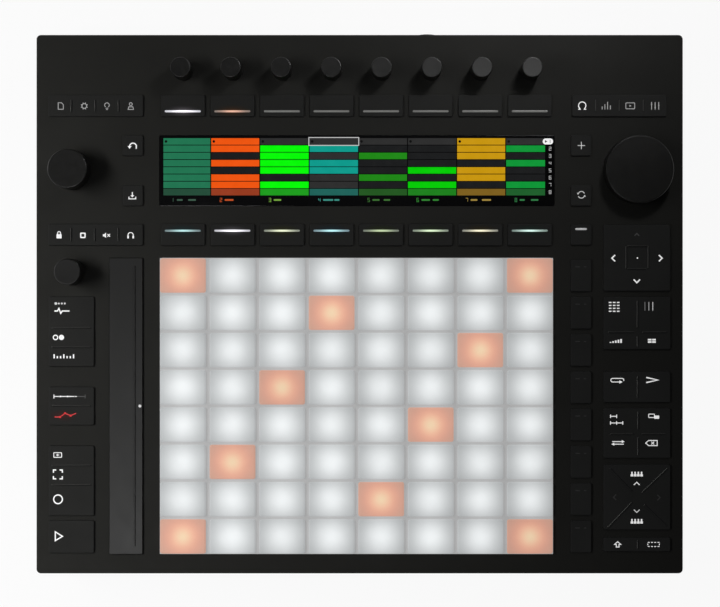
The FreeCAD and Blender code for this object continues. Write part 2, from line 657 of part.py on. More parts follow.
# the eight row keys share one moulded web under the panel
rows = keep(new_body("row_key_strip", d.rkey_x, d.row_y, d.panel_z))
sk = new_sketch(rows, "web_outline", z=-d.key_deep)
rounded(sk, d.rkey_w + 2 * d.lip, 7 * d.row_pitch + d.rkey_d + 2 * d.lip, d.key_r + d.lip)
pad(rows, "web", sk, d.lip_h)
sk = new_sketch(rows, "cap_outline", y=-3.5 * d.row_pitch, z=d.lip_h - d.key_deep - 0.2)
rounded(sk, d.rkey_w, d.rkey_d, d.key_r)
first = pad(rows, "cap", sk, d.key_deep + d.key_proud - d.lip_h + 0.2)
doc.recompute()
f = rows.newObject("PartDesign::LinearPattern", "row_key_strip_caps")
f.Originals = [first]
f.Refine = False
f.Direction = (sk, ["V_Axis"])
bind(f, "Length", d.row_pitch * 7)
f.Occurrences = 8
rows.Tip = f
soften(rows, "edge", d.key_edge, level=d.key_proud)

# ----------------------------------------------------------------- pad mat
mat = keep(new_body("pad_mat", d.col_x, d.row_y, d.panel_z))
sk = new_sketch(mat, "flange_outline", z=-d.mat_low)
rounded(sk, d.mat_w + 2 * d.mat_flange, d.mat_d + 2 * d.mat_flange, d.mat_r + d.mat_flange)
pad(mat, "flange", sk, d.mat_low - d.panel_thk)
sk = new_sketch(mat, "web_outline", z=-d.mat_low)
rounded(sk, d.mat_w, d.mat_d, d.mat_r)
pad(mat, "web", sk, d.mat_low + d.mat_proud)
sk = new_sketch(mat, "pad_outline", x=-3.5 * d.col_pitch, y=-3.5 * d.row_pitch, z=d.mat_proud - 0.1)
rounded(sk, d.pad_w, d.pad_d, 1.1)
first = pad(mat, "one_pad", sk, d.pad_h + 0.1, TaperAngle=-14.0)
doc.recompute()
repeat(mat, "pads", [first], sk, 8, d.col_pitch * 7, 8, d.row_pitch * 7)

# ------------------------------------------------------------ touch strip
strip = keep(new_body("touch_strip", d.strip_x, d.strip_y, d.panel_z))
sk = new_sketch(strip, "flange_outline", z=-d.key_deep)
rounded(sk, d.strip_w + 1.6, d.strip_d + 1.6, d.key_r)
pad(strip, "flange", sk, d.key_deep - d.panel_thk)
sk = new_sketch(strip, "face_outline", z=-d.key_deep)
rounded(sk, d.strip_w, d.strip_d, 0.8)
pad(strip, "face", sk, d.key_deep + 1.0)
soften(strip, "edge", 0.3, level=1.0)
sk = new_sketch(strip, "rib_outline", z=0.9)
rounded(sk, 1.1, 164.7, 0.5, 5.2, 0.0)
pad(strip, "rib", sk, 0.7, TaperAngle=-25.0)

# ----------------------------------------------------------------- display
glass = keep(new_body("display_glass", d.disp_x, d.disp_y, d.panel_z))
sk = new_sketch(glass, "outline", z=-d.glass_thk)
rounded(sk, d.disp_w, d.disp_d, 0.9)
pad(glass, "pane", sk, d.glass_thk - 0.05)
soften(glass, "edge", 0.25, level=-0.05)

module = keep(new_body("display_module", d.disp_x, d.disp_y, d.panel_z))
sk = new_sketch(module, "frame_outline", z=-6.8)
rounded(sk, d.disp_w + 6.0, d.disp_d + 3.0, 1.0)
pad(module, "frame", sk, 6.8 - d.panel_thk)
sk = new_sketch(module, "face_outline", z=-d.panel_thk - 0.2)
rounded(sk, d.disp_w - 2 * d.glass_step - 0.8, d.disp_d - 2 * d.glass_step - 0.8, 0.8)
pad(module, "face", sk, d.panel_thk + 0.2 - d.glass_thk)


# -------------------------------------------------------------------- knobs
def make_knob(label, x, y, r, low, top, wall, inside, edge, shaft_low):
    """Knob and shaft: a cap hollow underneath, so that it clears the bush."""
    body = keep(new_body(label, x, y, d.panel_z))
    sk = new_sketch(body, "half_section", role="XZ_Plane")
    polygon(sk, [(0.0, shaft_low), (d.shaft_r, shaft_low), (d.shaft_r, inside), (r - wall, inside),
                 (r - wall, low), (r, low), (r, top), (0.0, top)])
    revolve(body, "turned", sk)
    soften(body, "edge", edge, level=top)
    return body


for i in range(8):
    make_knob("encoder_knob_%d" % (i + 1), column(i), d.enc_y, d.enc_r, d.knob_low, d.knob_top, 1.3, 3.0, 0.5, -6.0)
make_knob("volume_knob", d.vol_x, d.vol_y, d.vol_r, d.knob_low, d.knob_top, 1.8, 3.0, 0.7, -6.0)
make_knob("tempo_knob", d.vol_x, d.tempo_y, d.tempo_r, d.knob_low, d.knob_top, 1.6, 3.0, 0.6, -6.0)
make_knob("jog_wheel", d.jog_x, d.jog_y, d.jog_r, d.jog_low, d.jog_top, 2.2, 4.2, 0.9, -4.4)

# sleeve that slides in the jog encoder and in which the wheel's shaft turns
carrier = keep(new_body("jog_carrier", d.jog_x, d.jog_y, d.panel_z))
sk = new_sketch(carrier, "half_section", role="XZ_Plane")
polygon(sk, [(d.shaft_r + d.bore_gap, -5.2), (d.sleeve_r, -5.2), (d.sleeve_r, 3.9), (d.shaft_r + d.bore_gap, 3.9)])
revolve(carrier, "turned", sk)

# ------------------------------------------------------- encoder bodies
encoders = doc.addObject("PartDesign::Body", "small_encoders")
place(encoders, d.col_x, d.enc_y, d.panel_z)
sk = new_sketch(encoders, "case_outlines", z=-d.board_top)
for i in range(8):
    rectangle(sk, 11.6, 11.6, (i - 3.5) * d.col_pitch, 0.0)
left = d.vol_x - d.col_x
for yy in (d.vol_y - d.enc_y, d.tempo_y - d.enc_y):
    rectangle(sk, 13.0, 13.0, left, yy)
spots = [((i - 3.5) * d.col_pitch, 0.0) for i in range(8)] + [(left, d.vol_y - d.enc_y), (left, d.tempo_y - d.enc_y)]
pad(encoders, "cases", sk, d.board_top - d.panel_thk - 0.1)
sk = new_sketch(encoders, "bush_circles", z=-d.panel_thk - 0.3)
circles(sk, d.bush_r, spots)
pad(encoders, "bushes", sk, d.panel_thk + 0.3 + d.bush_top)
sk = new_sketch(encoders, "bore_circles", z=d.bush_top)
circles(sk, d.shaft_r + d.bore_gap, spots)
pocket(encoders, "bores", sk, d.bush_top + d.board_top)

jog_encoder = doc.addObject("PartDesign::Body", "jog_encoder")
place(jog_encoder, d.jog_x, d.jog_y, d.panel_z)
sk = new_sketch(jog_encoder, "case_outline", z=-d.board_top)
rectangle(sk, 20.0, 20.0)
pad(jog_encoder, "case", sk, d.board_top - d.panel_thk - 0.1)
sk = new_sketch(jog_encoder, "guide_circle", z=-d.panel_thk - 0.3)
circles(sk, d.sleeve_r + 1.3, [(0.0, 0.0)])
pad(jog_encoder, "guide", sk, d.panel_thk + 0.3 + 0.6)
sk = new_sketch(jog_encoder, "guide_bore", z=0.6)
circles(sk, d.sleeve_r + d.bore_gap, [(0.0, 0.0)])
pocket(jog_encoder, "bore", sk, d.board_top + 0.6)

encoder_bodies = doc.addObject("Part::Compound", "encoder_bodies")
encoder_bodies.Label = "encoder_bodies"
encoder_bodies.Links = [encoders, jog_encoder]
keep(encoder_bodies)

# ------------------------------------------------------------------- boards
sensor = doc.addObject("Part::Box", "pad_sensor_board")
sensor.Label = "pad_sensor_board"
bind(sensor, "Length", d.mat_w + 4.2)
bind(sensor, "Width", d.mat_d + 4.0)
bind(sensor, "Height", d.board_thk)
place(sensor, d.col_x - (d.mat_w + 4.2) / 2, d.row_y - (d.mat_d + 4.0) / 2, sensor_z)
keep(sensor)

board_parts = []


def board(name, x0, x1, y0, y1, z):
    box = doc.addObject("Part::Box", name)
    box.Length, box.Width = x1 - x0, y1 - y0
    bind(box, "Height", d.board_thk)
    place(box, x0, y0, z)
    board_parts.append(box)
    return box


key_board_z = board_z - d.board_thk
board("rear_key_board", -177.0, 177.0, 101.6, 143.0, key_board_z)
board("left_key_board", -179.8, -123.4, -146.0, 101.4, key_board_z)
board("right_key_board", 120.2, 179.8, -146.0, 101.4, key_board_z)
board("lower_key_board", -123.2, 120.0, 29.6, 53.6, key_board_z)
board("main_board", -150.0, 177.0, 22.0, 144.6, d.main_z)


def chip(name, x, y, w, dd, hh):
    box = doc.addObject("Part::Box", name)
    box.Length, box.Width, box.Height = w, dd, hh
    place(box, x - w / 2, y - dd / 2, d.main_z + d.board_thk)
    board_parts.append(box)


chip("processor", -20.0, 84.0, 24.0, 24.0, 2.2)
chip("memory_a", -46.0, 84.0, 12.0, 9.0, 1.2)
chip("memory_b", -46.0, 70.0, 12.0, 9.0, 1.2)
chip("audio_converter", 22.0, 104.0, 12.0, 12.0, 1.4)
chip("regulator", 128.0, 100.0, 14.0, 16.0, 5.0)
chip("choke", 104.0, 98.0, 12.0, 12.0, 5.4)
chip("display_connector", -20.0, 52.0, 34.0, 5.0, 3.0)
chip("sensor_connector", 40.0, 36.0, 34.0, 5.0, 3.0)
chip("left_key_connector", -138.0, 60.0, 5.0, 26.0, 3.0)
chip("right_key_connector", 150.0, 60.0, 5.0, 26.0, 3.0)

domes = doc.addObject("PartDesign::Body", "dome_switches")
place(domes, 0.0, 0.0, board_z)
groups = {"display": [(column(i), yy) for yy in (d.upper_y, d.lower_y) for i in range(8)],
          "row": [(d.rkey_x, row(j)) for j in range(8)],
          "left": [], "right": []}
for name, spots in DOMES.items():
    x, y = ISLANDS[name][:2]
    groups["left" if x < 0 else "right"] += [(x + a, y + b) for a, b in spots]
for which, spots in groups.items():
    sk = new_sketch(domes, which + "_circles")
    circles(sk, d.dome_r, spots)
    pad(domes, which + "_domes", sk, d.dome_h)
board_parts.append(domes)

power_switch = doc.addObject("Part::Box", "power_switch")
power_switch.Length, power_switch.Width, power_switch.Height = 9.0, 8.0, 9.0
place(power_switch, POWER - 4.5, d.body_y + yr - d.wall - 12.2, d.main_z + d.board_thk)
board_parts.append(power_switch)

boards = doc.addObject("Part::Compound", "circuit_boards")
boards.Label = "circuit_boards"
boards.Links = board_parts
keep(boards)

# ------------------------------------------------------------- rear sockets
inside = d.body_y + yr - d.wall          # inner face of the rear wall
back = d.wall - 0.3                      # noses stop just short of the wall's outer face
socket_parts = []


def socket_body(name):
    body = doc.addObject("PartDesign::Body", name)
    place(body, 0.0, inside, d.socket_z)
    socket_parts.append(body)
    return body


def at_wall(body, name, out=0.0):
    """Sketch upright in the wall's inner face, or out from it."""
    return new_sketch(body, name, z=-out if isinstance(out, Cell) else -float(out), role="XZ_Plane")


jacks = socket_body("phone_jacks")
sk = at_wall(jacks, "block_outlines")
for x in JACKS + [PHONES]:
    rectangle(sk, 15.0, d.socket_h, x, 0.0)
pad(jacks, "blocks", sk, d.jack_block)
sk = at_wall(jacks, "nose_circles", -0.2)
circles(sk, d.jack_nose_r, [(x, 0.0) for x in JACKS + [PHONES]])
pad(jacks, "noses", sk, back + 0.2, Reversed=True)
sk = at_wall(jacks, "collar_circle", d.wall + 0.02)
circles(sk, d.collar_r, [(PHONES, 0.0)])
pad(jacks, "collar", sk, d.collar_out - 0.02, Reversed=True)
sk = at_wall(jacks, "collar_neck", back - 0.2)
circles(sk, d.jack_nose_r, [(PHONES, 0.0)])
pad(jacks, "neck", sk, d.wall - back + 0.4, Reversed=True)
soften(jacks, "collar_edge", 0.4, normal=Vector(0, 1, 0), level=d.wall + d.collar_out, axis="y")
sk = at_wall(jacks, "bore_circles", d.bore_in)
circles(sk, d.jack_r, [(x, 0.0) for x in JACKS + [PHONES]])
pocket(jacks, "bores", sk, d.jack_len + d.bore_in, Reversed=True)
sk = at_wall(jacks, "mouth_circles", d.bore_in)
circles(sk, d.jack_r, [(x, 0.0) for x in JACKS])
pocket(jacks, "mouths", sk, back - d.bore_in, TaperAngle=35.0)
sk = at_wall(jacks, "collar_mouth", d.bore_in)
circles(sk, d.jack_r, [(PHONES, 0.0)])
pocket(jacks, "deep_mouth", sk, d.wall + d.collar_out - d.bore_in, TaperAngle=16.0)

minis = socket_body("small_jacks")
sk = at_wall(minis, "block_outlines")
for x in MINIS:
    rectangle(sk, 10.0, d.socket_h, x, 0.0)
pad(minis, "blocks", sk, 14.0)
sk = at_wall(minis, "nose_circles", -0.2)
circles(sk, d.mini_nose_r, [(x, 0.0) for x in MINIS])
pad(minis, "noses", sk, back + 0.2, Reversed=True)
sk = at_wall(minis, "bore_circles", d.bore_in)
circles(sk, d.mini_r, [(x, 0.0) for x in MINIS])
pocket(minis, "bores", sk, d.mini_len + d.bore_in, Reversed=True)
sk = at_wall(minis, "mouth_circles", d.bore_in)
circles(sk, d.mini_r, [(x, 0.0) for x in MINIS])
pocket(minis, "mouths", sk, back - d.bore_in, TaperAngle=35.0)

dc = socket_body("power_inlet")
sk = at_wall(dc, "block_outline")
rectangle(sk, 10.5, d.socket_h, DC_IN, 0.0)
pad(dc, "block", sk, 13.0)
sk = at_wall(dc, "nose_circle", -0.2)
circles(sk, 4.0, [(DC_IN, 0.0)])
pad(dc, "nose", sk, back + 0.2, Reversed=True)
sk = at_wall(dc, "bore_circle", back)
circles(sk, 2.85, [(DC_IN, 0.0)])
pocket(dc, "bore", sk, 12.0, Reversed=True)
sk = at_wall(dc, "contact_circle", -12.0 + back)
circles(sk, 1.0, [(DC_IN, 0.0)])
pad(dc, "contact", sk, 10.5, Reversed=True)

usb = socket_body("usb_sockets")
sk = at_wall(usb, "block_outlines")
rectangle(sk, 14.2, d.socket_h, USB_A, 0.0)
rectangle(sk, 9.9, d.socket_h, USB_C, 0.0)
pad(usb, "blocks", sk, 14.0)
sk = at_wall(usb, "shell_outlines", -0.2)
rectangle(sk, 14.2, 6.6, USB_A, 0.0)
rounded(sk, 9.9, 4.1, 1.9, USB_C, 0.0)
pad(usb, "shells", sk, back + 0.2, Reversed=True)
sk = at_wall(usb, "mouth_outlines", back)
rectangle(sk, 12.5, 5.1, USB_A, 0.0)
rounded(sk, 8.4, 2.6, 1.25, USB_C, 0.0)
pocket(usb, "mouths", sk, 11.0, Reversed=True)
sk = at_wall(usb, "tongue_outlines", back - 11.2)
rectangle(sk, 11.1, 1.8, USB_A, 1.0)
rectangle(sk, 6.4, 0.7, USB_C, 0.0)
pad(usb, "tongues", sk, 10.0, Reversed=True)

optical = socket_body("optical_sockets")
sk = at_wall(optical, "block_outlines")
for x in OPTICAL:
    rectangle(sk, 10.0, d.socket_h, x, 0.0)
pad(optical, "blocks", sk, 12.0)
sk = at_wall(optical, "nose_outlines", -0.2)
for x in OPTICAL:
    rectangle(sk, 10.0, 10.0, x, 0.0)
pad(optical, "noses", sk, back + 0.2, Reversed=True)
sk = at_wall(optical, "shutter_outlines", back)
for x in OPTICAL:
    rounded(sk, 8.0, 7.6, 1.2, x, 0.0)
pocket(optical, "shutter_seats", sk, 0.9, Reversed=True)

sockets = doc.addObject("Part::Compound", "rear_sockets")
sockets.Label = "rear_sockets"
sockets.Links = socket_parts
keep(sockets)

# ------------------------------------------------------------ power button
button = keep(new_body("power_button", POWER, inside, d.socket_z))
sk = new_sketch(button, "flange_circle", z=0.3, role="XZ_Plane")
circles(sk, d.button_r + 0.9, [(0.0, 0.0)])
pad(button, "flange", sk, 2.2)
sk = new_sketch(button, "cap_circle", z=2.5, role="XZ_Plane")
circles(sk, d.button_r, [(0.0, 0.0)])
pad(button, "cap", sk, 2.5 + d.wall + 0.6, Reversed=True)
soften(button, "edge", 0.4, normal=Vector(0, 1, 0), level=d.wall + 0.6, axis="y")

# ------------------------------------------------------------------ write
doc.recompute()
problems = []
for obj in doc.Objects:
    if "Invalid" in obj.State or "Error" in obj.State:
        problems.append("%s is %s" % (obj.Name, obj.State))
for cut, base in CUTS:
    if not cut.Shape.Volume < base.Shape.Volume - 0.01:
        problems.append("%s cuts nothing" % cut.Name)
for label, obj in nodes.items():
    if obj.Shape.isNull() or not obj.Shape.isValid():
        problems.append("%s has no valid shape" % label)
if problems:
    raise RuntimeError("; ".join(problems))
for old in os.listdir("parts"):
    if old.endswith(".step") and old[:-5] not in nodes:
        os.remove(os.path.join("parts", old))
for label, obj in nodes.items():
    obj.Shape.exportStep("parts/%s.step" % label)
    box = obj.Shape.BoundBox
    print("%-24s %3d solids  %10.1f mm3  x %.2f..%.2f  y %.2f..%.2f  z %.2f..%.2f" % (
        label, len(obj.Shape.Solids), obj.Shape.Volume, box.XMin, box.XMax, box.YMin, box.YMax, box.ZMin, box.ZMax))
print(len(nodes), "nodes")
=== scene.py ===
import math

import bmesh
import bpy
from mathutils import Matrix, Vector


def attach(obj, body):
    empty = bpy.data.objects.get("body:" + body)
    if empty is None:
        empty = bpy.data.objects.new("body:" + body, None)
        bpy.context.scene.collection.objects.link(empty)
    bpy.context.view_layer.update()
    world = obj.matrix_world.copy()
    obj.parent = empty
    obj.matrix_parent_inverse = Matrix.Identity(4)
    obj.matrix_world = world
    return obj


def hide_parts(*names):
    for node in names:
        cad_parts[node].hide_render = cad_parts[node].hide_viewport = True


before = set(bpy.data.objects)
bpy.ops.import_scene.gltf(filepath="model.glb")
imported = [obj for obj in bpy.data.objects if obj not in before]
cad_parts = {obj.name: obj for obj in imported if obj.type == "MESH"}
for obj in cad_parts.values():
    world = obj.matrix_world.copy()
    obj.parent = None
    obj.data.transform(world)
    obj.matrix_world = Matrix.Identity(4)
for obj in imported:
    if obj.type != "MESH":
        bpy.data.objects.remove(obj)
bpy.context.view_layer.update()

# Looks of a flat pad controller: lit pads, display, light bars, legends, knobs and finishes.
# All places are given in millimetres in the model's frame and turned into metres by MM.
MM = 0.001
PANEL = 31.0                 # panel's top face
KEY_TOP = 32.0               # key tops
COL_X, COL_PITCH = -1.9, 29.1
ROW_Y, ROW_PITCH = -60.7, 21.89
UPPER_Y, LOWER_Y = 115.6, 39.9


def column(i):
    return COL_X + (i - 3.5) * COL_PITCH


def row(j):
    return ROW_Y + (3.5 - j) * ROW_PITCH


def rgb(r, g, b):
    """Screen values 0..255 as linear light."""
    out = []
    for v in (r, g, b):
        v /= 255.0
        out.append(v / 12.92 if v <= 0.04045 else ((v + 0.055) / 1.055) ** 2.4)
    return tuple(out)


def grey(v):
    return (v, v, v)


# ------------------------------------------------------------------ camera
scene = bpy.context.scene
cam_data = bpy.data.cameras.new("camera")
cam = bpy.data.objects.new("camera", cam_data)
scene.collection.objects.link(cam)
cam_data.sensor_width = 36.0
cam_data.lens = 68.93
cam_data.clip_start, cam_data.clip_end = 0.05, 30.0
cam.location = (0.2 * MM, -0.5 * MM, 0.841)
scene.camera = cam


# --------------------------------------------------------------- materials
class Nodes:
    """Small helper that builds one node material."""

    def __init__(self, name):
        self.mat = bpy.data.materials.new(name)
        self.mat.use_nodes = True
        self.tree = self.mat.node_tree
        self.tree.nodes.clear()
        self.out = self.tree.nodes.new("ShaderNodeOutputMaterial")
        self.bsdf = self.tree.nodes.new("ShaderNodeBsdfPrincipled")
        self.link(self.bsdf.outputs[0], self.out.inputs[0])
        self.where = self.tree.nodes.new("ShaderNodeTexCoord").outputs["Object"]

    def link(self, a, b):
        self.tree.links.new(a, b)

    def put(self, socket, value):
        if hasattr(value, "is_linked") or isinstance(value, bpy.types.NodeSocket):
            self.link(value, socket)
        else:
            socket.default_value = value

    def math(self, op, a, b=0.0, c=None, clamp=False):
        n = self.tree.nodes.new("ShaderNodeMath")
        n.operation, n.use_clamp = op, clamp
        self.put(n.inputs[0], a)
        self.put(n.inputs[1], b)
        if c is not None:
            self.put(n.inputs[2], c)
        return n.outputs[0]

    def vmath(self, op, a, b=(0, 0, 0), out=0):
        n = self.tree.nodes.new("ShaderNodeVectorMath")
        n.operation = op
        self.put(n.inputs[0], a)
        self.put(n.inputs[1], b)
        return n.outputs[out]

    def noise(self, scale, detail=3.0, rough=0.6, stretch=None):
        n = self.tree.nodes.new("ShaderNodeTexNoise")
        n.inputs["Scale"].default_value = scale
        n.inputs["Detail"].default_value = detail
        n.inputs["Roughness"].default_value = rough
        where = self.where
        if stretch is not None:
            where = self.vmath("MULTIPLY", where, stretch)
        self.link(where, n.inputs["Vector"])
        return n.outputs["Fac"]

    def ramp(self, value, lo, hi, a, b, smooth=False):
        n = self.tree.nodes.new("ShaderNodeMapRange")
        n.interpolation_type = "SMOOTHSTEP" if smooth else "LINEAR"
        self.put(n.inputs["Value"], value)
        for key, v in (("From Min", lo), ("From Max", hi), ("To Min", a), ("To Max", b)):
            n.inputs[key].default_value = v
        return n.outputs[0]

    def mix(self, fac, a, b):
        n = self.tree.nodes.new("ShaderNodeMix")
        n.data_type = "RGBA"
        self.put(n.inputs[0], fac)
        for socket, v in ((n.inputs[6], a), (n.inputs[7], b)):
            if isinstance(v, tuple):
                socket.default_value = (*v[:3], 1.0)
            else:
                self.link(v, socket)
        return n.outputs[2]

    def bump(self, heights, depth_mm, strength=1.0, edge_mm=0.0):
        """Heights between 0 and 1, as deep as depth_mm; edge_mm rounds the sharp edges' shading."""
        n = self.tree.nodes.new("ShaderNodeBump")
        n.inputs["Strength"].default_value = strength
        n.inputs["Distance"].default_value = depth_mm * MM
        self.link(heights, n.inputs["Height"])
        if edge_mm:
            e = self.tree.nodes.new("ShaderNodeBevel")
            e.samples = 4
            e.inputs["Radius"].default_value = edge_mm * MM
            self.link(e.outputs[0], n.inputs["Normal"])
        self.link(n.outputs[0], self.bsdf.inputs["Normal"])

    def edge_mask(self, radius_mm, lo=0.002, hi=0.12):
        """1 along outer and inner edges, 0 on flats."""
        e = self.tree.nodes.new("ShaderNodeBevel")
        e.samples = 4
        e.inputs["Radius"].default_value = radius_mm * MM
        g = self.tree.nodes.new("ShaderNodeNewGeometry")
        dot = self.vmath("DOT_PRODUCT", e.outputs[0], g.outputs["Normal"], out=1)
        return self.ramp(self.math("SUBTRACT", 1.0, dot), lo, hi, 0.0, 1.0, smooth=True)


def surface(name, colour, rough=0.5, grain=2600.0, depth=0.012, tone=0.12, tone_scale=35.0, wear=0.0,
            wear_colour=None, metallic=0.0, coat=0.0, coat_rough=0.1, specular=0.5, edge=0.0, stretch=None,
            spread=0.06, halo=None, painted_rib_highlight=None, painted_glow=None):
    """A moulded, coated or metal finish: grain, slow tone changes, uneven gloss, worn edges; on request a painted
    highlight on the ribs' lit flank, a painted light spill with a painted tint, and a faint painted glow.
    """
    n = Nodes(name)
    b = n.bsdf
    fine = n.noise(grain, 2.0, 0.55, stretch)
    slow = n.noise(tone_scale, 4.0, 0.6)
    mid = n.noise(tone_scale * 9.0, 3.0, 0.6)
    low = tuple(max(0.0, c * (1 - tone)) for c in colour)
    high = tuple(min(1.0, c * (1 + tone)) for c in colour)
    shade = n.mix(n.ramp(slow, 0.32, 0.68, 0.0, 1.0), low, high)
    speck = n.ramp(fine, 0.35, 0.75, 0.0, 0.35)
    shade = n.mix(speck, shade, tuple(min(1.0, c * (1 + 2.2 * tone)) for c in colour))
    if wear:
        mask = n.math("MULTIPLY", n.edge_mask(0.35), n.ramp(mid, 0.38, 0.66, 0.15, 1.0))
        shade = n.mix(n.math("MULTIPLY", mask, wear), shade, wear_colour or tuple(min(1.0, c * 2.5 + 0.01) for c in colour))
    if painted_rib_highlight:
        # painted highlight: the tops of the raised ribs are painted lighter on the flank that faces the left lamp
        height = n.tree.nodes.new("ShaderNodeSeparateXYZ")
        n.link(n.where, height.inputs[0])
        toward_light = n.tree.nodes.new("ShaderNodeNewGeometry").outputs["Normal"]
        toward_light = n.vmath("DOT_PRODUCT", toward_light, (-0.85, 0.53, 0.0), out=1)
        high = n.ramp(height.outputs[2], painted_rib_highlight[0] * MM, (painted_rib_highlight[0] + 0.14) * MM, 0.0, 1.0)
        shade = n.mix(n.math("MULTIPLY", high, n.ramp(toward_light, 0.30, 0.75, 0.0, 1.0)), shade, painted_rib_highlight[1])
    n.link(shade, b.inputs["Base Color"])
    uneven = n.math("ADD", n.ramp(mid, 0.3, 0.7, -spread, spread), n.ramp(fine, 0.3, 0.7, -spread * 0.5, spread * 0.5))
    n.link(n.math("ADD", rough, uneven, clamp=True), b.inputs["Roughness"])
    b.inputs["Metallic"].default_value = metallic
    b.inputs["Specular IOR Level"].default_value = specular
    if coat:
        b.inputs["Coat Weight"].default_value = coat
        b.inputs["Coat Roughness"].default_value = coat_rough
    if halo:
        # light that spills from the bar on the matt cap round it
        (hx, hy), tint, strength, (wx, wy), painted_tint = halo
        off = n.vmath("SUBTRACT", n.where, (hx * MM, hy * MM, 0.0))
        off = n.vmath("DIVIDE", off, (wx * MM, wy * MM, 1.0))
        off = n.vmath("MULTIPLY", off, (1.0, 1.0, 0.0))
        dist = n.vmath("LENGTH", off, out=1)
        fall = n.math("POWER", n.ramp(dist, 0.0, 1.0, 1.0, 0.0), 2.2)
        wide = n.math("POWER", n.ramp(dist, 0.0, 1.0, 1.0, 0.0), 0.8)
        # painted light: round the bar the cap's colour is multiplied by the spill's tint, and the spill itself is
        # painted as emission
        tinted = n.tree.nodes.new("ShaderNodeMix")
        tinted.data_type, tinted.blend_type = "RGBA", "MULTIPLY"
        n.link(wide, tinted.inputs[0])
        n.link(shade, tinted.inputs[6])
        tinted.inputs[7].default_value = (*painted_tint, 1.0)
        n.link(tinted.outputs[2], b.inputs["Base Color"])
        lamp = n.vmath("SCALE", tint, (0, 0, 0))
        n.link(n.math("MULTIPLY", fall, strength), lamp.node.inputs["Scale"])
        # the cap's faint painted glow is added to the painted spill
        n.link(n.vmath("ADD", lamp, painted_glow or (0.0, 0.0, 0.0)), b.inputs["Emission Color"])
        b.inputs["Emission Strength"].default_value = 1.0
    elif painted_glow:
        # painted glow: a faint even emission over the whole cap lightens it a little
        b.inputs["Emission Color"].default_value = (*painted_glow, 1.0)
        n.link(n.ramp(slow, 0.3, 0.7, 0.9, 1.1), b.inputs["Emission Strength"])
    n.bump(fine, depth, 0.8, edge)
    return n.mat


PANEL_COLOUR = (0.0185, 0.0184, 0.0168)
KEY_COLOUR = (0.0150, 0.0150, 0.0140)
KNOB_COLOUR = (0.0052, 0.0051, 0.0046)
m_panel = surface("panel_coat", PANEL_COLOUR, 0.56, grain=5200, depth=0.005, tone=0.10, tone_scale=16,
                  wear=0.10, wear_colour=(0.04, 0.04, 0.038), specular=0.06)
# key caps: painted highlight on the ribs' lit flank and a faint painted glow over the whole cap
KEY = dict(rough=0.52, grain=4200, depth=0.005, tone=0.08, tone_scale=30, wear=0.12,
           wear_colour=(0.05, 0.05, 0.048), specular=0.06, painted_rib_highlight=(KEY_TOP + 0.08, (0.115, 0.115, 0.109)), painted_glow=(0.0029, 0.0030, 0.0031))
m_key = surface("key_plastic", KEY_COLOUR, **KEY)
m_knob = surface("knob_soft_touch", KNOB_COLOUR, 0.40, grain=5200, depth=0.004, tone=0.12, tone_scale=60,
                 wear=0.05, wear_colour=(0.04, 0.04, 0.038), specular=0.46)
m_wheel = surface("wheel_soft_touch", (0.0095, 0.0094, 0.0088), 0.40, grain=5200, depth=0.004, tone=0.12, tone_scale=40,
                  wear=0.05, wear_colour=(0.04, 0.04, 0.038), specular=0.20)
m_plate = surface("base_coat", (0.020, 0.020, 0.0195), 0.5, grain=1500, depth=0.03, tone=0.16, tone_scale=22,
                  wear=0.6, wear_colour=(0.11, 0.11, 0.11), specular=0.5)
m_rubber = surface("foot_rubber", (0.020, 0.020, 0.020), 0.82, grain=2400, depth=0.03, tone=0.25, tone_scale=120,
                   specular=0.3)
m_screw = surface("screw_steel", (0.11, 0.11, 0.115), 0.32, grain=3000, depth=0.006, tone=0.15, tone_scale=200,
                  wear=0.6, wear_colour=(0.42, 0.42, 0.42), metallic=1.0)
m_strip = surface("strip_film", (0.0062, 0.0062, 0.0057), 0.45, grain=6000, depth=0.003, tone=0.08, tone_scale=12,
                  specular=0.50, spread=0.02)
m_frame = surface("display_frame", (0.016, 0.016, 0.017), 0.5, tone=0.15)
m_steel = surface("plated_steel", (0.50, 0.50, 0.49), 0.34, grain=900, depth=0.008, tone=0.12, tone_scale=80,
                  wear=0.4, wear_colour=(0.75, 0.75, 0.74), metallic=1.0)
m_board = surface("solder_mask", (0.012, 0.075, 0.032), 0.36, grain=700, depth=0.02, tone=0.25, tone_scale=60,
                  coat=0.4, coat_rough=0.2)
m_carrier = surface("white_sleeve", (0.42, 0.42, 0.40), 0.4, tone=0.08, tone_scale=90)
m_button = surface("button_plastic", (0.018, 0.018, 0.018), 0.42, grain=3600, depth=0.008, tone=0.12, tone_scale=90,
                   wear=0.5, wear_colour=(0.06, 0.06, 0.06))


def socket_material():
    """Black moulded sockets; the two flat computer sockets are plated steel shells."""
    n = Nodes("socket_shells")
    b = n.bsdf
    fine, slow = n.noise(2400.0), n.noise(120.0)
    sep = n.tree.nodes.new("ShaderNodeSeparateXYZ")
    n.link(n.where, sep.inputs[0])
    steel = None
    for x, half in ((115.0, 7.3), (134.0, 5.1)):
        away = n.math("ABSOLUTE", n.math("SUBTRACT", sep.outputs[0], x * MM))
        one = n.math("LESS_THAN", away, half * MM)
        steel = one if steel is None else n.math("MAXIMUM", steel, one)
    front = n.math("GREATER_THAN", sep.outputs[1], 145.6 * MM)
    steel = n.math("MULTIPLY", steel, front)
    black = n.mix(n.ramp(slow, 0.3, 0.7, 0.0, 1.0), (0.012, 0.012, 0.012), (0.022, 0.022, 0.021))
    bright = n.mix(n.ramp(slow, 0.3, 0.7, 0.0, 1.0), (0.48, 0.48, 0.47), (0.62, 0.62, 0.61))
    n.link(n.mix(steel, black, bright), b.inputs["Base Color"])
    n.link(steel, b.inputs["Metallic"])
    n.link(n.math("ADD", n.ramp(fine, 0.3, 0.7, 0.30, 0.46), n.math("MULTIPLY", steel, -0.06)), b.inputs["Roughness"])
    n.bump(fine, 0.01, 0.8, 0.15)
    return n.mat


m_socket = socket_material()


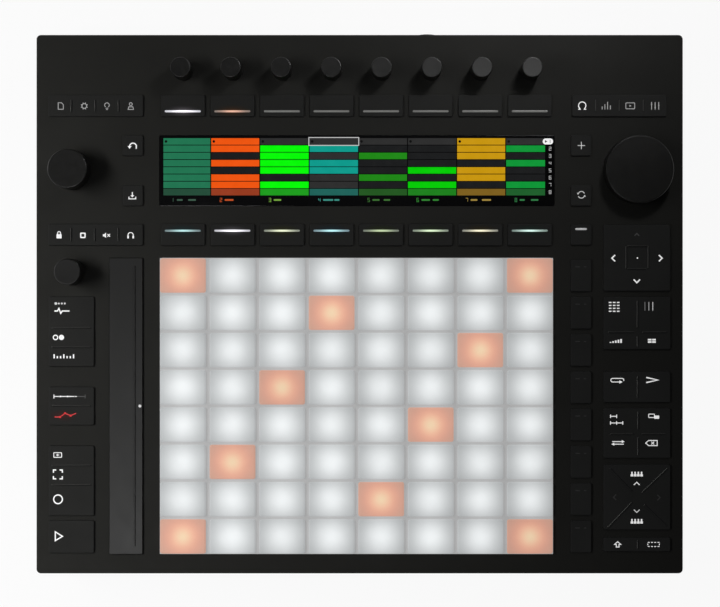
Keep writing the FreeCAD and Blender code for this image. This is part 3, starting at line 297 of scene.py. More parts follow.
def glass_black(name="display_pane_glass"):
    n = Nodes(name)
    b = n.bsdf
    slow = n.noise(18.0, 2.0)
    n.link(n.mix(n.ramp(slow, 0.3, 0.7, 0.0, 1.0), (0.0030, 0.0030, 0.0034), (0.0052, 0.0052, 0.0056)), b.inputs["Base Color"])
    smear = n.noise(60.0, 5.0, 0.7)
    n.link(n.ramp(smear, 0.35, 0.8, 0.06, 0.12), b.inputs["Roughness"])
    b.inputs["Specular IOR Level"].default_value = 0.25
    return n.mat


m_glass = glass_black()


def lit(name, colour, strength, base=None, rough=0.45, wobble=0.05, scale=900.0):
    """A small lit area, such as a legend or a screen cell, with slightly uneven light."""
    n = Nodes(name)
    b = n.bsdf
    uneven = n.noise(scale, 2.0)
    base = base or tuple(min(0.9, c * 0.5 + 0.01) for c in colour)
    n.link(n.mix(n.ramp(uneven, 0.3, 0.7, 0.0, 1.0), tuple(c * 0.92 for c in base), base), b.inputs["Base Color"])
    n.link(n.ramp(uneven, 0.3, 0.7, rough - 0.04, rough + 0.04), b.inputs["Roughness"])
    b.inputs["Emission Color"].default_value = (*colour, 1.0)
    n.link(n.ramp(uneven, 0.3, 0.7, strength * (1 - wobble), strength * (1 + wobble)), b.inputs["Emission Strength"])
    return n.mat


m_legend = lit("legend_white", (1.0, 1.0, 1.0), 0.66, base=(0.30, 0.30, 0.30))
m_mid = lit("legend_mid", (1.0, 1.0, 1.0), 0.46, base=(0.20, 0.20, 0.20))
m_grey = lit("legend_grey", (1.0, 1.0, 1.0), 0.29, base=(0.12, 0.12, 0.12))
m_low = lit("legend_low", (1.0, 1.0, 1.0), 0.12, base=(0.08, 0.08, 0.08))
m_dim = lit("legend_dim", (1.0, 1.0, 1.0), 0.018, base=(0.05, 0.05, 0.05))
m_faint = lit("legend_faint", (1.0, 1.0, 1.0), 0.006, base=(0.024, 0.024, 0.024))
m_red = lit("legend_red", (1.0, 0.045, 0.05), 0.50, base=(0.20, 0.02, 0.02))


def glow(name, centre, edge, core=None):
    """Translucent silicone lit from below: brightest over its lamp, falling off towards the edges."""
    n = Nodes(name)
    b = n.bsdf
    first = (column(0) * MM, row(7) * MM, 0.0)
    local = n.vmath("SUBTRACT", n.where, first)
    local = n.vmath("DIVIDE", local, (COL_PITCH * MM, ROW_PITCH * MM, 1.0))
    local = n.vmath("ADD", local, (0.5, 0.5, 0.0))
    number = n.vmath("FLOOR", local)
    local = n.vmath("FRACTION", local)
    local = n.vmath("SUBTRACT", local, (0.5, 0.5, 0.0))
    local = n.vmath("MULTIPLY", local, (COL_PITCH * MM, ROW_PITCH * MM, 0.0))
    dist = n.vmath("LENGTH", local, out=1)
    bell = lambda r: n.math("POWER", 2.718, n.math("MULTIPLY", n.math("POWER", n.math("DIVIDE", dist, r * MM), 2.0), -1.0))
    # every pad's lamp is a little stronger or weaker
    each = n.tree.nodes.new("ShaderNodeTexWhiteNoise")
    each.noise_dimensions = "2D"
    n.link(number, each.inputs["Vector"])
    cloud = n.noise(110.0, 3.0)
    base = tuple(0.13 * (c / max(edge)) for c in edge)
    n.link(n.mix(n.ramp(cloud, 0.3, 0.7, 0.0, 1.0), tuple(c * 0.96 for c in base), base), b.inputs["Base Color"])
    n.link(n.ramp(n.noise(1800.0), 0.3, 0.7, 0.50, 0.62), b.inputs["Roughness"])
    b.inputs["Specular IOR Level"].default_value = 0.35
    b.inputs["Subsurface Weight"].default_value = 0.0
    lamp = n.mix(bell(10.7), edge, centre)
    if core:
        lamp = n.mix(bell(6.0), lamp, core)
    n.link(lamp, b.inputs["Emission Color"])
    even = n.math("ADD", n.ramp(each.outputs["Value"], 0.0, 1.0, 0.965, 1.035), n.ramp(cloud, 0.3, 0.7, -0.02, 0.02))
    n.link(even, b.inputs["Emission Strength"])
    n.bump(n.noise(2600.0, 2.0), 0.008, 0.6)
    return n.mat


m_pad = glow("pad_white", (0.795, 0.820, 0.828), (0.312, 0.324, 0.328))
m_pad_warm = glow("pad_salmon", (0.814, 0.314, 0.220), (0.464, 0.289, 0.225), (0.785, 0.592, 0.388))
m_web = glow("pad_web", (0.560, 0.562, 0.563), (0.310, 0.311, 0.312))


def light_bar(name, x, y, half, centre, ends, power=1.0, tight=0.55):
    """A light pipe: strongest in its middle, weaker and greyer at its ends."""
    n = Nodes(name)
    b = n.bsdf
    off = n.vmath("SUBTRACT", n.where, (x * MM, y * MM, 0.0))
    sep = n.tree.nodes.new("ShaderNodeSeparateXYZ")
    n.link(off, sep.inputs[0])
    t = n.math("DIVIDE", n.math("ABSOLUTE", sep.outputs[0]), half * MM)
    lobe = n.math("POWER", 2.718, n.math("MULTIPLY", n.math("POWER", n.math("DIVIDE", t, tight), 2.0), -1.0))
    n.link(n.mix(lobe, ends, centre), b.inputs["Emission Color"])
    b.inputs["Base Color"].default_value = (0.30, 0.30, 0.30, 1.0)
    cloud = n.noise(700.0)
    n.link(n.mix(n.ramp(cloud, 0.3, 0.7, 0.0, 1.0), (0.05, 0.05, 0.05), (0.07, 0.07, 0.07)), b.inputs["Base Color"])
    n.link(n.ramp(cloud, 0.3, 0.7, 0.28, 0.40), b.inputs["Roughness"])
    n.link(n.ramp(cloud, 0.3, 0.7, power * 0.96, power * 1.04), b.inputs["Emission Strength"])
    return n.mat


# ------------------------------------------------------------------ meshes
def finish_mesh(bm, name, body, materials, smooth_angle=35.0, merge=0.0):
    if merge:
        bmesh.ops.remove_doubles(bm, verts=bm.verts, dist=merge * MM)
    bmesh.ops.recalc_face_normals(bm, faces=bm.faces)
    me = bpy.data.meshes.new(name)
    bm.to_mesh(me)
    bm.free()
    for m in materials:
        me.materials.append(m)
    obj = bpy.data.objects.new(name, me)
    scene.collection.objects.link(obj)
    if smooth_angle:
        for p in me.polygons:
            p.use_smooth = True
        me.set_sharp_from_angle(angle=math.radians(smooth_angle))
    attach(obj, body)
    return obj


def prism(bm, loop, z0, z1, mat=0):
    """Upright solid over a closed outline given in millimetres."""
    low = [bm.verts.new((x * MM, y * MM, z0 * MM)) for x, y in loop]
    top = [bm.verts.new((x * MM, y * MM, z1 * MM)) for x, y in loop]
    faces = [bm.faces.new(top), bm.faces.new(low[::-1])]
    k = len(loop)
    for i in range(k):
        faces.append(bm.faces.new((low[i], low[(i + 1) % k], top[(i + 1) % k], top[i])))
    for f in faces:
        f.material_index = mat


def offset_pair(points, w, closed):
    """Left and right side of a line of width w through the points."""
    left, right = [], []
    k = len(points)
    for i, p in enumerate(points):
        p = Vector(p)
        a = Vector(points[i - 1]) if (i or closed) else None
        c = Vector(points[(i + 1) % k]) if (i < k - 1 or closed) else None
        d1 = (p - a).normalized() if a is not None else None
        d2 = (c - p).normalized() if c is not None else None
        d1 = d1 if d1 is not None else d2
        d2 = d2 if d2 is not None else d1
        n1, n2 = Vector((-d1.y, d1.x)), Vector((-d2.y, d2.x))
        mid = n1 + n2
        mid = mid.normalized() if mid.length > 1e-6 else n1
        scale = 1.0 / max(0.45, mid.dot(n1))
        left.append(p + mid * (w / 2 * scale))
        right.append(p - mid * (w / 2 * scale))
    return left, right


def stroke(bm, points, w, z0, z1, closed=False, mat=0):
    """A line of even width as a thin solid."""
    left, right = offset_pair(points, w, closed)
    k = len(points)
    rows = []
    for i in range(k):
        rows.append([bm.verts.new((v.x * MM, v.y * MM, z * MM)) for v, z in
                     ((left[i], z0), (right[i], z0), (right[i], z1), (left[i], z1))])
    faces = []
    for i in range(k if closed else k - 1):
        a, b = rows[i], rows[(i + 1) % k]
        for s in range(4):
            faces.append(bm.faces.new((a[s], b[s], b[(s + 1) % 4], a[(s + 1) % 4])))
    if not closed:
        faces.append(bm.faces.new(rows[0]))
        faces.append(bm.faces.new(rows[-1][::-1]))
    for f in faces:
        f.material_index = mat


def arc(cx, cy, r, a0=0.0, a1=360.0, steps=28):
    full = abs(a1 - a0) >= 359.9
    k = steps if full else steps + 1
    return [(cx + r * math.cos(math.radians(a0 + (a1 - a0) * i / steps)),
             cy + r * math.sin(math.radians(a0 + (a1 - a0) * i / steps))) for i in range(k)]


def box_loop(cx, cy, w, h, r=0.0, steps=4):
    """Rectangle outline, its corners rounded by r."""
    if r <= 0:
        return [(cx - w / 2, cy - h / 2), (cx + w / 2, cy - h / 2), (cx + w / 2, cy + h / 2), (cx - w / 2, cy + h / 2)]
    out = []
    for sx, sy, a in ((1, -1, -90), (1, 1, 0), (-1, 1, 90), (-1, -1, 180)):
        for i in range(steps + 1):
            t = math.radians(a + 90 * i / steps)
            out.append((cx + sx * (w / 2 - r) + r * math.cos(t), cy + sy * (h / 2 - r) + r * math.sin(t)))
    return out


def lathe(bm, cx, cy, profile, steps=96, mat=0):
    """Closed turned solid from (radius, height) points, from the axis round to the axis."""
    rings = []
    for r, z in profile:
        if r < 1e-6:
            rings.append([bm.verts.new((cx * MM, cy * MM, z * MM))])
        else:
            rings.append([bm.verts.new(((cx + r * math.cos(2 * math.pi * k / steps)) * MM,
                                        (cy + r * math.sin(2 * math.pi * k / steps)) * MM, z * MM)) for k in range(steps)])
    for a, b in zip(rings, rings[1:]):
        for k in range(steps):
            n = (k + 1) % steps
            if len(a) == 1:
                f = bm.faces.new((a[0], b[n], b[k]))
            elif len(b) == 1:
                f = bm.faces.new((a[k], a[n], b[0]))
            else:
                f = bm.faces.new((a[k], a[n], b[n], b[k]))
            f.material_index = mat


# ------------------------------------------------------- finishes of the carried-over pieces
def give(node, material, slot=None):
    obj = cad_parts[node]
    obj.data.materials.clear()
    obj.data.materials.append(material)
    for s in obj.material_slots:
        s.material = material


ISLANDS = ["upper_left_bar", "upper_right_bar", "undo_key", "save_key", "plus_key", "swap_key", "lower_left_bar",
           "master_key", "direction_pad", "layout_block", "repeat_block", "loop_block", "page_block", "shift_block",
           "tap_block", "automate_block", "record_block", "play_key"]
# painted red light spill: a faint red glow and a painted red tint on the cap round the red legend
m_key_red = surface("key_plastic_red_spill", KEY_COLOUR, **KEY,
                    halo=((-174.0, -66.2), (1.0, 0.01, 0.01), 0.030, (8.5, 3.6), (1.5, 0.75, 0.75)))
for node in ISLANDS + ["row_key_strip"]:
    give(node, m_key_red if node == "automate_block" else m_key)
for node, material in (("top_housing", m_panel), ("bottom_plate", m_plate), ("rubber_feet", m_rubber),
                       ("case_screws", m_screw), ("touch_strip", m_strip), ("display_module", m_frame),
                       ("encoder_bodies", m_steel), ("pad_sensor_board", m_board), ("circuit_boards", m_board),
                       ("rear_sockets", m_socket), ("jog_carrier", m_carrier), ("power_button", m_button)):
    give(node, material)

# ------------------------------------------------------- light bars and their keys
# (middle, ends, power, how tight the middle is)
UPPER = [((1.45, 1.40, 1.50), rgb(178, 180, 188), 1.0, 0.60),
         ((0.86, 0.47, 0.33), rgb(106, 97, 90), 0.95, 0.55),
         (rgb(97, 98, 95), rgb(90, 90, 88), 1.0, 0.8),
         (rgb(95, 96, 93), rgb(90, 90, 88), 1.0, 0.8),
         (rgb(94, 95, 92), rgb(88, 88, 86), 1.0, 0.8),
         (rgb(91, 92, 89), rgb(86, 86, 84), 1.0, 0.8),
         (rgb(92, 93, 90), rgb(87, 87, 85), 1.0, 0.8),
         (rgb(91, 92, 89), rgb(87, 87, 85), 1.0, 0.8)]
LOWER = [(rgb(193, 240, 240), rgb(92, 108, 112), 0.93, 0.55),
         ((1.40, 1.38, 1.46), rgb(160, 160, 168), 1.0, 0.62),
         (rgb(246, 253, 218), rgb(108, 114, 104), 0.98, 0.55),
         (rgb(194, 250, 255), rgb(98, 120, 130), 1.0, 0.55),
         (rgb(198, 218, 172), rgb(96, 102, 94), 0.95, 0.55),
         (rgb(230, 253, 212), rgb(106, 116, 104), 0.98, 0.55),
         (rgb(255, 248, 216), rgb(114, 116, 108), 1.0, 0.55),
         (rgb(222, 254, 244), rgb(98, 116, 108), 0.98, 0.55)]
# spill on the cap: emission's colour, its strength, and what the tinted light leaves of the cap's own colour
SPILL = {("upper", 0): ((1.0, 0.92, 1.0), 0.10, (1.1, 1.0, 1.15)), ("upper", 1): ((1.0, 0.30, 0.06), 0.035, (1.3, 0.85, 0.40)),
         ("lower", 0): ((0.10, 0.9, 1.0), 0.012, (0.50, 1.05, 1.20)), ("lower", 1): ((0.95, 0.92, 1.0), 0.080, (1.1, 1.05, 1.2)),
         ("lower", 2): ((0.90, 1.0, 0.10), 0.012, (1.05, 1.10, 0.35)), ("lower", 3): ((0.10, 0.7, 1.0), 0.018, (0.50, 0.95, 1.35)),
         ("lower", 4): ((0.60, 1.0, 0.10), 0.010, (0.85, 1.15, 0.35)), ("lower", 5): ((0.40, 1.0, 0.20), 0.012, (0.80, 1.15, 0.50)),
         ("lower", 6): ((1.0, 0.75, 0.10), 0.014, (1.20, 0.90, 0.28)), ("lower", 7): ((0.10, 1.0, 0.70), 0.012, (0.45, 1.00, 0.80))}


def bar_piece(name, body, x, y, length, width, material):
    """Light pipe lens in a key's slot: rounded ends, slightly domed."""
    bm = bmesh.new()
    rings = []
    for inset, z in ((0.0, KEY_TOP - 0.34), (0.0, KEY_TOP - 0.06), (0.10, KEY_TOP + 0.01), (0.26, KEY_TOP + 0.05)):
        w, h = length - 2 * inset, width - 2 * inset
        rings.append([bm.verts.new((px * MM, py * MM, z * MM)) for px, py in box_loop(x, y, w, h, h / 2 - 0.01, 6)])
    bm.faces.new(rings[0][::-1])
    for a, b in zip(rings, rings[1:]):
        for i in range(len(a)):
            k = (i + 1) % len(a)
            bm.faces.new((a[i], a[k], b[k], b[i]))
    bm.faces.new(rings[-1])
    return finish_mesh(bm, name, body, [material], smooth_angle=50)


for i in range(8):
    for which, yy, off, table in (("upper", UPPER_Y, -3.27, UPPER), ("lower", LOWER_Y, 2.33, LOWER)):
        centre, ends, power, tight = table[i]
        key = "%s_display_key_%d" % (which, i + 1)
        mat = light_bar("bar_light_%s_%d" % (which, i + 1), column(i), yy + off, 10.8, centre, ends, power, tight)
        bar_piece("%s_light_bar_%d" % (which, i + 1), key, column(i) - 0.1, yy + off, 21.1, 1.16, mat)
        if (which, i) in SPILL:
            tint, strength, painted_tint = SPILL[(which, i)]
            # painted light spill: a glow and a painted tint on the cap round its bar
            give(key, surface("key_plastic_%s_%d" % (which, i + 1), KEY_COLOUR, **KEY,
                              halo=((column(i), yy + off), tint, strength, (11.5, 3.8), painted_tint)))
        else:
            give(key, m_key)
bar_piece("master_light_bar", "master_key", 129.95, 39.9 + 3.3, 6.8, 1.16,
          light_bar("bar_light_master", 129.95, 43.2, 3.4, rgb(162, 162, 163), rgb(146, 146, 146), 1.0, 0.8))

# ------------------------------------------------------------------ pads
WARM = {(0, 0), (0, 7), (1, 3), (2, 6), (3, 2), (4, 5), (5, 1), (6, 4), (7, 0), (7, 7)}


def pad_sheet():
    """The moulded sheet: 64 crowned pads that rise out of one web, and the flange under the panel."""
    bm = bmesh.new()
    W, D, R = 13.45, 10.1, 1.25            # a pad's foot
    cx, cy = COL_PITCH / 2, ROW_PITCH / 2
    mx, my = 115.45, 86.9                  # the sheet's edge in its window
    side_x, side_y, corner = 10, 8, 5

    def contour(w, dd, r):
        pts = []
        spans = [((w - r), -(dd - r), -90), ((w - r), (dd - r), 0), (-(w - r), (dd - r), 90), (-(w - r), -(dd - r), 180)]
        for s, (ax, ay, a) in enumerate(spans):
            for i in range(corner):
                t = math.radians(a + 90.0 * i / (corner - 1))
                pts.append((ax + r * math.cos(t), ay + r * math.sin(t)))
            bx, by, _ = spans[(s + 1) % 4]
            t = math.radians(a + 90.0)
            start = (ax + r * math.cos(t), ay + r * math.sin(t))
            end = (bx + r * math.cos(t), by + r * math.sin(t))
            m = side_y if s % 2 == 0 else side_x
            for i in range(1, m):
                f = i / m
                pts.append((start[0] + (end[0] - start[0]) * f, start[1] + (end[1] - start[1]) * f))
        return pts

    foot = contour(W, D, R)
    inner_x, inner_y = W - R, D - R
    profile = [(0.00, 0.00, 0.0), (0.10, 0.05, 0.0), (0.17, 0.22, 0.0), (0.30, 0.80, 0.0), (0.36, 1.02, 0.0), (0.48, 1.18, 0.0),
               (0.70, 1.28, 0.0), (1.10, 1.335, 0.0)]
    for j in range(8):
        for i in range(8):
            px, py = column(i), row(j)
            warm = 1 if (j, i) in WARM else 0
            x_lo = -min(cx, px - (COL_X - mx)) if i == 0 else -cx
            x_hi = min(cx, COL_X + mx - px) if i == 7 else cx
            y_lo = -min(cy, py - (ROW_Y - my)) if j == 7 else -cy
            y_hi = min(cy, ROW_Y + my - py) if j == 0 else cy
            rings = []
            border = []
            for fx, fy in foot:
                bx = fx if abs(fx) < inner_x - 1e-6 else (x_hi if fx > 0 else x_lo)
                by = fy if abs(fy) < inner_y - 1e-6 else (y_hi if fy > 0 else y_lo)
                on_x, on_y = abs(fx) >= inner_x - 1e-6, abs(fy) >= inner_y - 1e-6
                if on_x and on_y:
                    border.append((x_hi if fx > 0 else x_lo, y_hi if fy > 0 else y_lo))
                elif on_x:
                    border.append((x_hi if fx > 0 else x_lo, fy))
                else:
                    border.append((fx, y_hi if fy > 0 else y_lo))
            rings.append([bm.verts.new(((px + x) * MM, (py + y) * MM, (PANEL + 0.3) * MM)) for x, y in border])
            for inset, up, _ in profile:
                loop = contour(W - inset, D - inset, max(0.35, R - inset * 0.6))
                rings.append([bm.verts.new(((px + x) * MM, (py + y) * MM, (PANEL + 0.3 + up) * MM)) for x, y in loop])
            # crowned top: rings that shrink towards the middle
            base = contour(W - 1.10, D - 1.10, 0.6)
            for f in (0.86, 0.68, 0.48, 0.26):
                z = PANEL + 0.3 + 1.335 + 0.065 * (1 - f * f)
                rings.append([bm.verts.new(((px + x * f) * MM, (py + y * f) * MM, z * MM)) for x, y in base])
            n = len(foot)
            for level, (a, b) in enumerate(zip(rings, rings[1:])):
                for k in range(n):
                    q = (k + 1) % n
                    f = bm.faces.new((a[k], a[q], b[q], b[k]))
                    f.material_index = 2 if level == 0 else warm
            top = bm.verts.new((px * MM, py * MM, (PANEL + 0.3 + 1.4) * MM))
            for k in range(n):
                f = bm.faces.new((rings[-1][k], rings[-1][(k + 1) % n], top))
                f.material_index = warm
    bmesh.ops.remove_doubles(bm, verts=bm.verts, dist=0.004 * MM)
    # down the window's wall to the flange, and round to the underside
    rim = [e for e in bm.edges if len(e.link_faces) == 1]
    for z_mm, out in ((PANEL - 2.6, 0.0), (PANEL - 2.6, 1.6), (PANEL - 4.35, 1.6)):
        made = bmesh.ops.extrude_edge_only(bm, edges=rim)["geom"]
        verts = [g for g in made if isinstance(g, bmesh.types.BMVert)]
        for v in verts:
            v.co.z = z_mm * MM
            if out and z_mm == PANEL - 2.6:
                dx = v.co.x - COL_X * MM
                dy = v.co.y - ROW_Y * MM
                if abs(abs(dx) - mx * MM) < 0.02 * MM:
                    v.co.x += math.copysign(out * MM, dx)
                if abs(abs(dy) - my * MM) < 0.02 * MM:
                    v.co.y += math.copysign(out * MM, dy)
        for g in made:
            if isinstance(g, bmesh.types.BMFace):
                g.material_index = 2
        rim = [g for g in made if isinstance(g, bmesh.types.BMEdge) and all(v in set(verts) for v in g.verts)]
    cap = bmesh.ops.contextual_create(bm, geom=rim)["faces"]
    for f in cap:
        f.material_index = 2
    obj = finish_mesh(bm, "pad_sheet", "root", [m_pad, m_pad_warm, m_web], smooth_angle=60)
    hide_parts("pad_mat")
    return obj


pad_sheet()

# ------------------------------------------------------------------ display
CELL_X = [-115.6, -87.5, -58.7, -29.7, -0.7, 28.1, 57.0, 85.8, 109.2]
CELL_TOP, CELL_PITCH = 96.85, 4.254
TEAL_GREEN, ORANGE, GREEN, TEAL, LEAF, LIME, AMBER, EMERALD = range(8)
CELL_RGB = [(32, 115, 80), (238, 85, 12), (0, 250, 0), (10, 155, 140), (30, 135, 20), (0, 205, 0), (200, 150, 10), (10, 150, 55)]


# which rows of each column are lit, and the one marked head
LIT = [(0, 1, 2, 3, 4, 5, 6), (0, 1, 3, 5, 6), (1, 2, 3, 4, 6), (1, 3, 4), (2, 5), (4, 6), (0, 1, 2, 4, 5), (1, 3, 6)]
MARKED = 3
MARK_RGB = [(58, 86, 70), (190, 78, 34), (112, 160, 60), (58, 140, 128), (58, 108, 48), (48, 128, 48), (156, 130, 60), (46, 118, 66)]


def display():
    # the pane: a black slab with ground edges
    bm = bmesh.new()
    x, y, w, h = -1.6, 77.5, 232.0, 41.3
    rings = []
    for inset, z in ((0.0, 29.2), (0.0, 30.86), (0.03, 30.93), (0.10, 30.95)):
        rings.append([bm.verts.new((px * MM, py * MM, z * MM)) for px, py in
                      box_loop(x, y, w - 2 * inset, h - 2 * inset, 0.9 - inset, 6)])
    bm.faces.new(rings[0][::-1])
    for a, b in zip(rings, rings[1:]):
        for i in range(len(a)):
            k = (i + 1) % len(a)
            bm.faces.new((a[i], a[k], b[k], b[i]))
    bm.faces.new(rings[-1])
    pane = finish_mesh(bm, "display_pane", "root", [m_glass], smooth_angle=30)
    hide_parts("display_glass")

    # what it shows: eight columns of step cells, some on, each with a head, plain numbers beside and below
    def cell(name, colour, strength, dark=0.10, rough=0.20, wobble=0.03):
        return lit(name, colour, strength, base=tuple(c * dark + 0.002 for c in colour), rough=rough, wobble=wobble, scale=160.0)

    on = [cell("cell_%d" % (k + 1), rgb(*v), 0.93) for k, v in enumerate(CELL_RGB)]
    half = [cell("cell_half_%d" % (k + 1), tuple(c * 0.34 + 0.012 for c in rgb(*v)), 0.93) for k, v in enumerate(CELL_RGB)]
    mark = [cell("cell_mark_%d" % (k + 1), rgb(*v), 1.0) for k, v in enumerate(MARK_RGB)]
    head = cell("cell_head", rgb(47, 47, 47), 0.85)
    off = cell("cell_off", rgb(27, 28, 29), 0.80)
    light = cell("cell_white", (1.0, 1.0, 1.0), 0.85)
    number = cell("cell_number", rgb(176, 176, 176), 1.0)
    black = cell("cell_black", (0.002, 0.002, 0.002), 1.0)
    frame_line = cell("cell_frame", rgb(190, 190, 190), 1.0)
    mats = on + half + mark + [head, off, light, number, black, frame_line]
    HALF, MARK, HEAD, OFF, WHITE, NUMBER, BLACK, LINE = 8, 16, 24, 25, 26, 27, 28, 29
    z0, z1, z2 = 30.93, 30.965, 30.985
    bm = bmesh.new()
    for c in range(8):
        left, right = CELL_X[c] + 0.30, CELL_X[c + 1] - 0.30
        for r in range(8):
            top = CELL_TOP - r * CELL_PITCH - 0.22
            low = CELL_TOP - (r + 1) * CELL_PITCH + 0.22
            if r == 7:
                mat = HALF + c
            elif r in LIT[c]:
                mat = c
            else:
                mat = HEAD if r == 0 or c in (3,) else OFF
            prism(bm, box_loop((left + right) / 2, (top + low) / 2, right - left, top - low), z0, z1, mat)
        # a small mark in every head
        hy = CELL_TOP - 0.5 * CELL_PITCH
        prism(bm, arc(left + 1.5, hy, 0.78, steps=14), z0 + 0.02, z2, BLACK)
    # plain numbers beside the rows, the first one on a lit tab
    tab = CELL_TOP - 0.5 * CELL_PITCH
    prism(bm, box_loop(110.6, tab, 6.1, 3.5, 1.7, 5), z0 + 0.02, z1 + 0.008, WHITE)
    prism(bm, [(108.9, tab - 0.8), (110.3, tab), (108.9, tab + 0.8)], z0 + 0.03, z2, BLACK)
    for r in range(8):
        digit(bm, r + 1, 111.9, CELL_TOP - (r + 0.5) * CELL_PITCH, 1.10, 1.9, 0.30, z0 + 0.03, z2, BLACK if r == 0 else NUMBER)
    # column numbers below, each with short lines in its column's colour
    for c in range(8):
        x0 = CELL_X[c] + 6.0
        digit(bm, c + 1, x0, 60.35, 1.05, 2.1, 0.30, z0, z1, MARK + c)
        for k, length in enumerate(((3.4, 4.6), (5.2,), (4.4,), (6.0, 3.0), (4.2, 3.8), (5.0, 3.6), (4.0, 5.4), (3.0, 4.4))[c]):
            x1 = x0 + 2.2 + k * 6.6
            prism(bm, box_loop(x1 + length / 2, 60.35, length, 1.0, 0.4, 3), z0, z1, MARK + c)
    # thin frame round one head: the chosen column
    stroke(bm, box_loop((CELL_X[MARKED] + CELL_X[MARKED + 1]) / 2, tab, CELL_X[MARKED + 1] - CELL_X[MARKED] + 0.3, CELL_PITCH + 0.35),
           0.5, z0 + 0.03, z2, True, LINE)
    finish_mesh(bm, "display_picture", "root", mats, smooth_angle=0)


SEGMENTS = {1: "bc", 2: "abged", 3: "abgcd", 4: "fgbc", 5: "afgcd", 6: "afgedc", 7: "abc", 8: "abcdefg"}


def digit(bm, number, x, y, w, h, t, z0, z1, mat):
    """A plain upright number from seven strokes."""
    hw, hh = w / 2, h / 2
    place = {"a": (x, y + hh, w + t, t), "g": (x, y, w + t, t), "d": (x, y - hh, w + t, t),
             "f": (x - hw, y + hh / 2, t, hh - t), "b": (x + hw, y + hh / 2, t, hh - t),
             "e": (x - hw, y - hh / 2, t, hh - t), "c": (x + hw, y - hh / 2, t, hh - t)}
    for s in SEGMENTS[number]:
        px, py, pw, ph = place[s]
        if s in "bcef":
            ph = hh - t * 0.98
        if number == 1:
            px, ph = x, hh + 0.02
        prism(bm, box_loop(px, py, pw, ph), z0, z1, mat)


display()

# ------------------------------------------------------------------ knobs
def knob(name, x, y, r, low, top, shaft_low, wall, edge, dish, finish=None):
    """Turned cap with a rounded rim, a shallow dish on top, a hollow underside and its shaft."""
    bm = bmesh.new()
    z = lambda v: PANEL + v
    side = r
    prof = [(0.0, z(shaft_low)), (2.85, z(shaft_low)), (3.0, z(shaft_low + 0.15)), (3.0, z(3.0 if top > 12 else 4.2)),
            (r - wall, z(3.0 if top > 12 else 4.2)), (r - wall, z(low + 0.2)), (r - wall + 0.2, z(low)),
            (side - 0.25, z(low)), (side - 0.07, z(low + 0.07)), (side, z(low + 0.25))]
    steps = 7
    body_top = z(top)
    prof.append((side, body_top - edge - 0.9))
    prof.append((side - 0.015, body_top - edge - 0.02))
    for i in range(steps + 1):
        a = math.radians(90.0 * i / steps)
        prof.append((side - 0.02 - edge + edge * math.cos(a), body_top - edge + edge * math.sin(a)))
    ring = side - edge - 0.02
    prof += [(ring - 0.3, body_top - 0.004), (ring * 0.86, body_top - 0.01 - dish * 0.25),
             (ring * 0.72, body_top - 0.01 - dish * 0.45), (ring * 0.56, body_top - 0.01 - dish * 0.68),
             (ring * 0.40, body_top - 0.01 - dish * 0.84), (ring * 0.2, body_top - 0.01 - dish * 0.96), (0.0, body_top - 0.01 - dish)]
    lathe(bm, x, y, prof, 128 if r > 9 else 96)
    obj = finish_mesh(bm, name, name.replace("_cap", ""), [finish or m_knob], smooth_angle=42)
    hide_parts(name.replace("_cap", ""))
    return obj


for i in range(8):
    knob("encoder_knob_%d_cap" % (i + 1), column(i), 136.2, 5.93, 0.8, 13.0, -6.0, 1.3, 0.55, 0.05)
knob("volume_knob_cap", -169.2, 77.6, 11.5, 0.8, 13.0, -6.0, 1.8, 0.75, 0.06)
knob("tempo_knob_cap", -169.2, 17.9, 7.65, 0.8, 13.0, -6.0, 1.6, 0.65, 0.05)
knob("jog_wheel_cap", 162.8, 77.6, 19.85, 1.4, 9.62, -4.4, 2.2, 0.9, -0.36, m_wheel)


# ------------------------------------------------------------------ legends
Z0, Z1 = KEY_TOP - 0.03, KEY_TOP + 0.035
T = 0.56                      # usual stroke


class Legend:
    """The printed signs of one cap, as one thin piece that moves with it."""

    def __init__(self, body, name=None):
        self.body, self.name = body, name or body + "_legend"
        self.bm = bmesh.new()
        self.mats = [m_legend]

    def paint(self, material):
        if material not in self.mats:
            self.mats.append(material)
        return self.mats.index(material)

    def line(self, pts, w=T, closed=False, material=None):
        stroke(self.bm, pts, w, Z0, Z1, closed, self.paint(material or m_legend))

    def shape(self, pts, material=None):
        prism(self.bm, pts, Z0, Z1, self.paint(material or m_legend))

    def ring(self, x, y, r, w=T, material=None):
        self.line(arc(x, y, r, steps=32), w, True, material)

    def dot(self, x, y, r, material=None):
        self.shape(arc(x, y, r, steps=24), material)

    def done(self):
        return finish_mesh(self.bm, self.name, self.body, self.mats, smooth_angle=0)


# upper left bar: page, gear, lamp, figure
g = Legend("upper_left_bar")
x, y, t = -175.4, 115.4, 0.40
g.line([(x - 1.5, y - 1.9), (x + 1.5, y - 1.9), (x + 1.5, y + 0.8), (x + 0.4, y + 1.9), (x - 1.5, y + 1.9)], t, True, m_grey)
x = -161.6
g.ring(x, y, 1.35, t, m_grey)
for k in range(8):
    a = math.radians(k * 45 + 22.5)
    g.line([(x + 1.5 * math.cos(a), y + 1.5 * math.sin(a)), (x + 2.1 * math.cos(a), y + 2.1 * math.sin(a))], 0.5, material=m_grey)
x = -148.3
g.line(arc(x, y + 0.5, 1.35, -55, 235, 20), t, material=m_grey)
g.line([(x - 0.75, y - 1.3), (x + 0.75, y - 1.3)], t, material=m_grey)
g.line([(x - 0.5, y - 2.1), (x + 0.5, y - 2.1)], t, material=m_grey)
x = -134.3
g.ring(x, y + 1.1, 0.85, t, m_grey)
g.line([(x - 1.6, y - 2.0), (x - 1.2, y - 0.5), (x + 1.2, y - 0.5), (x + 1.6, y - 2.0)], t, True, m_grey)
g.done()

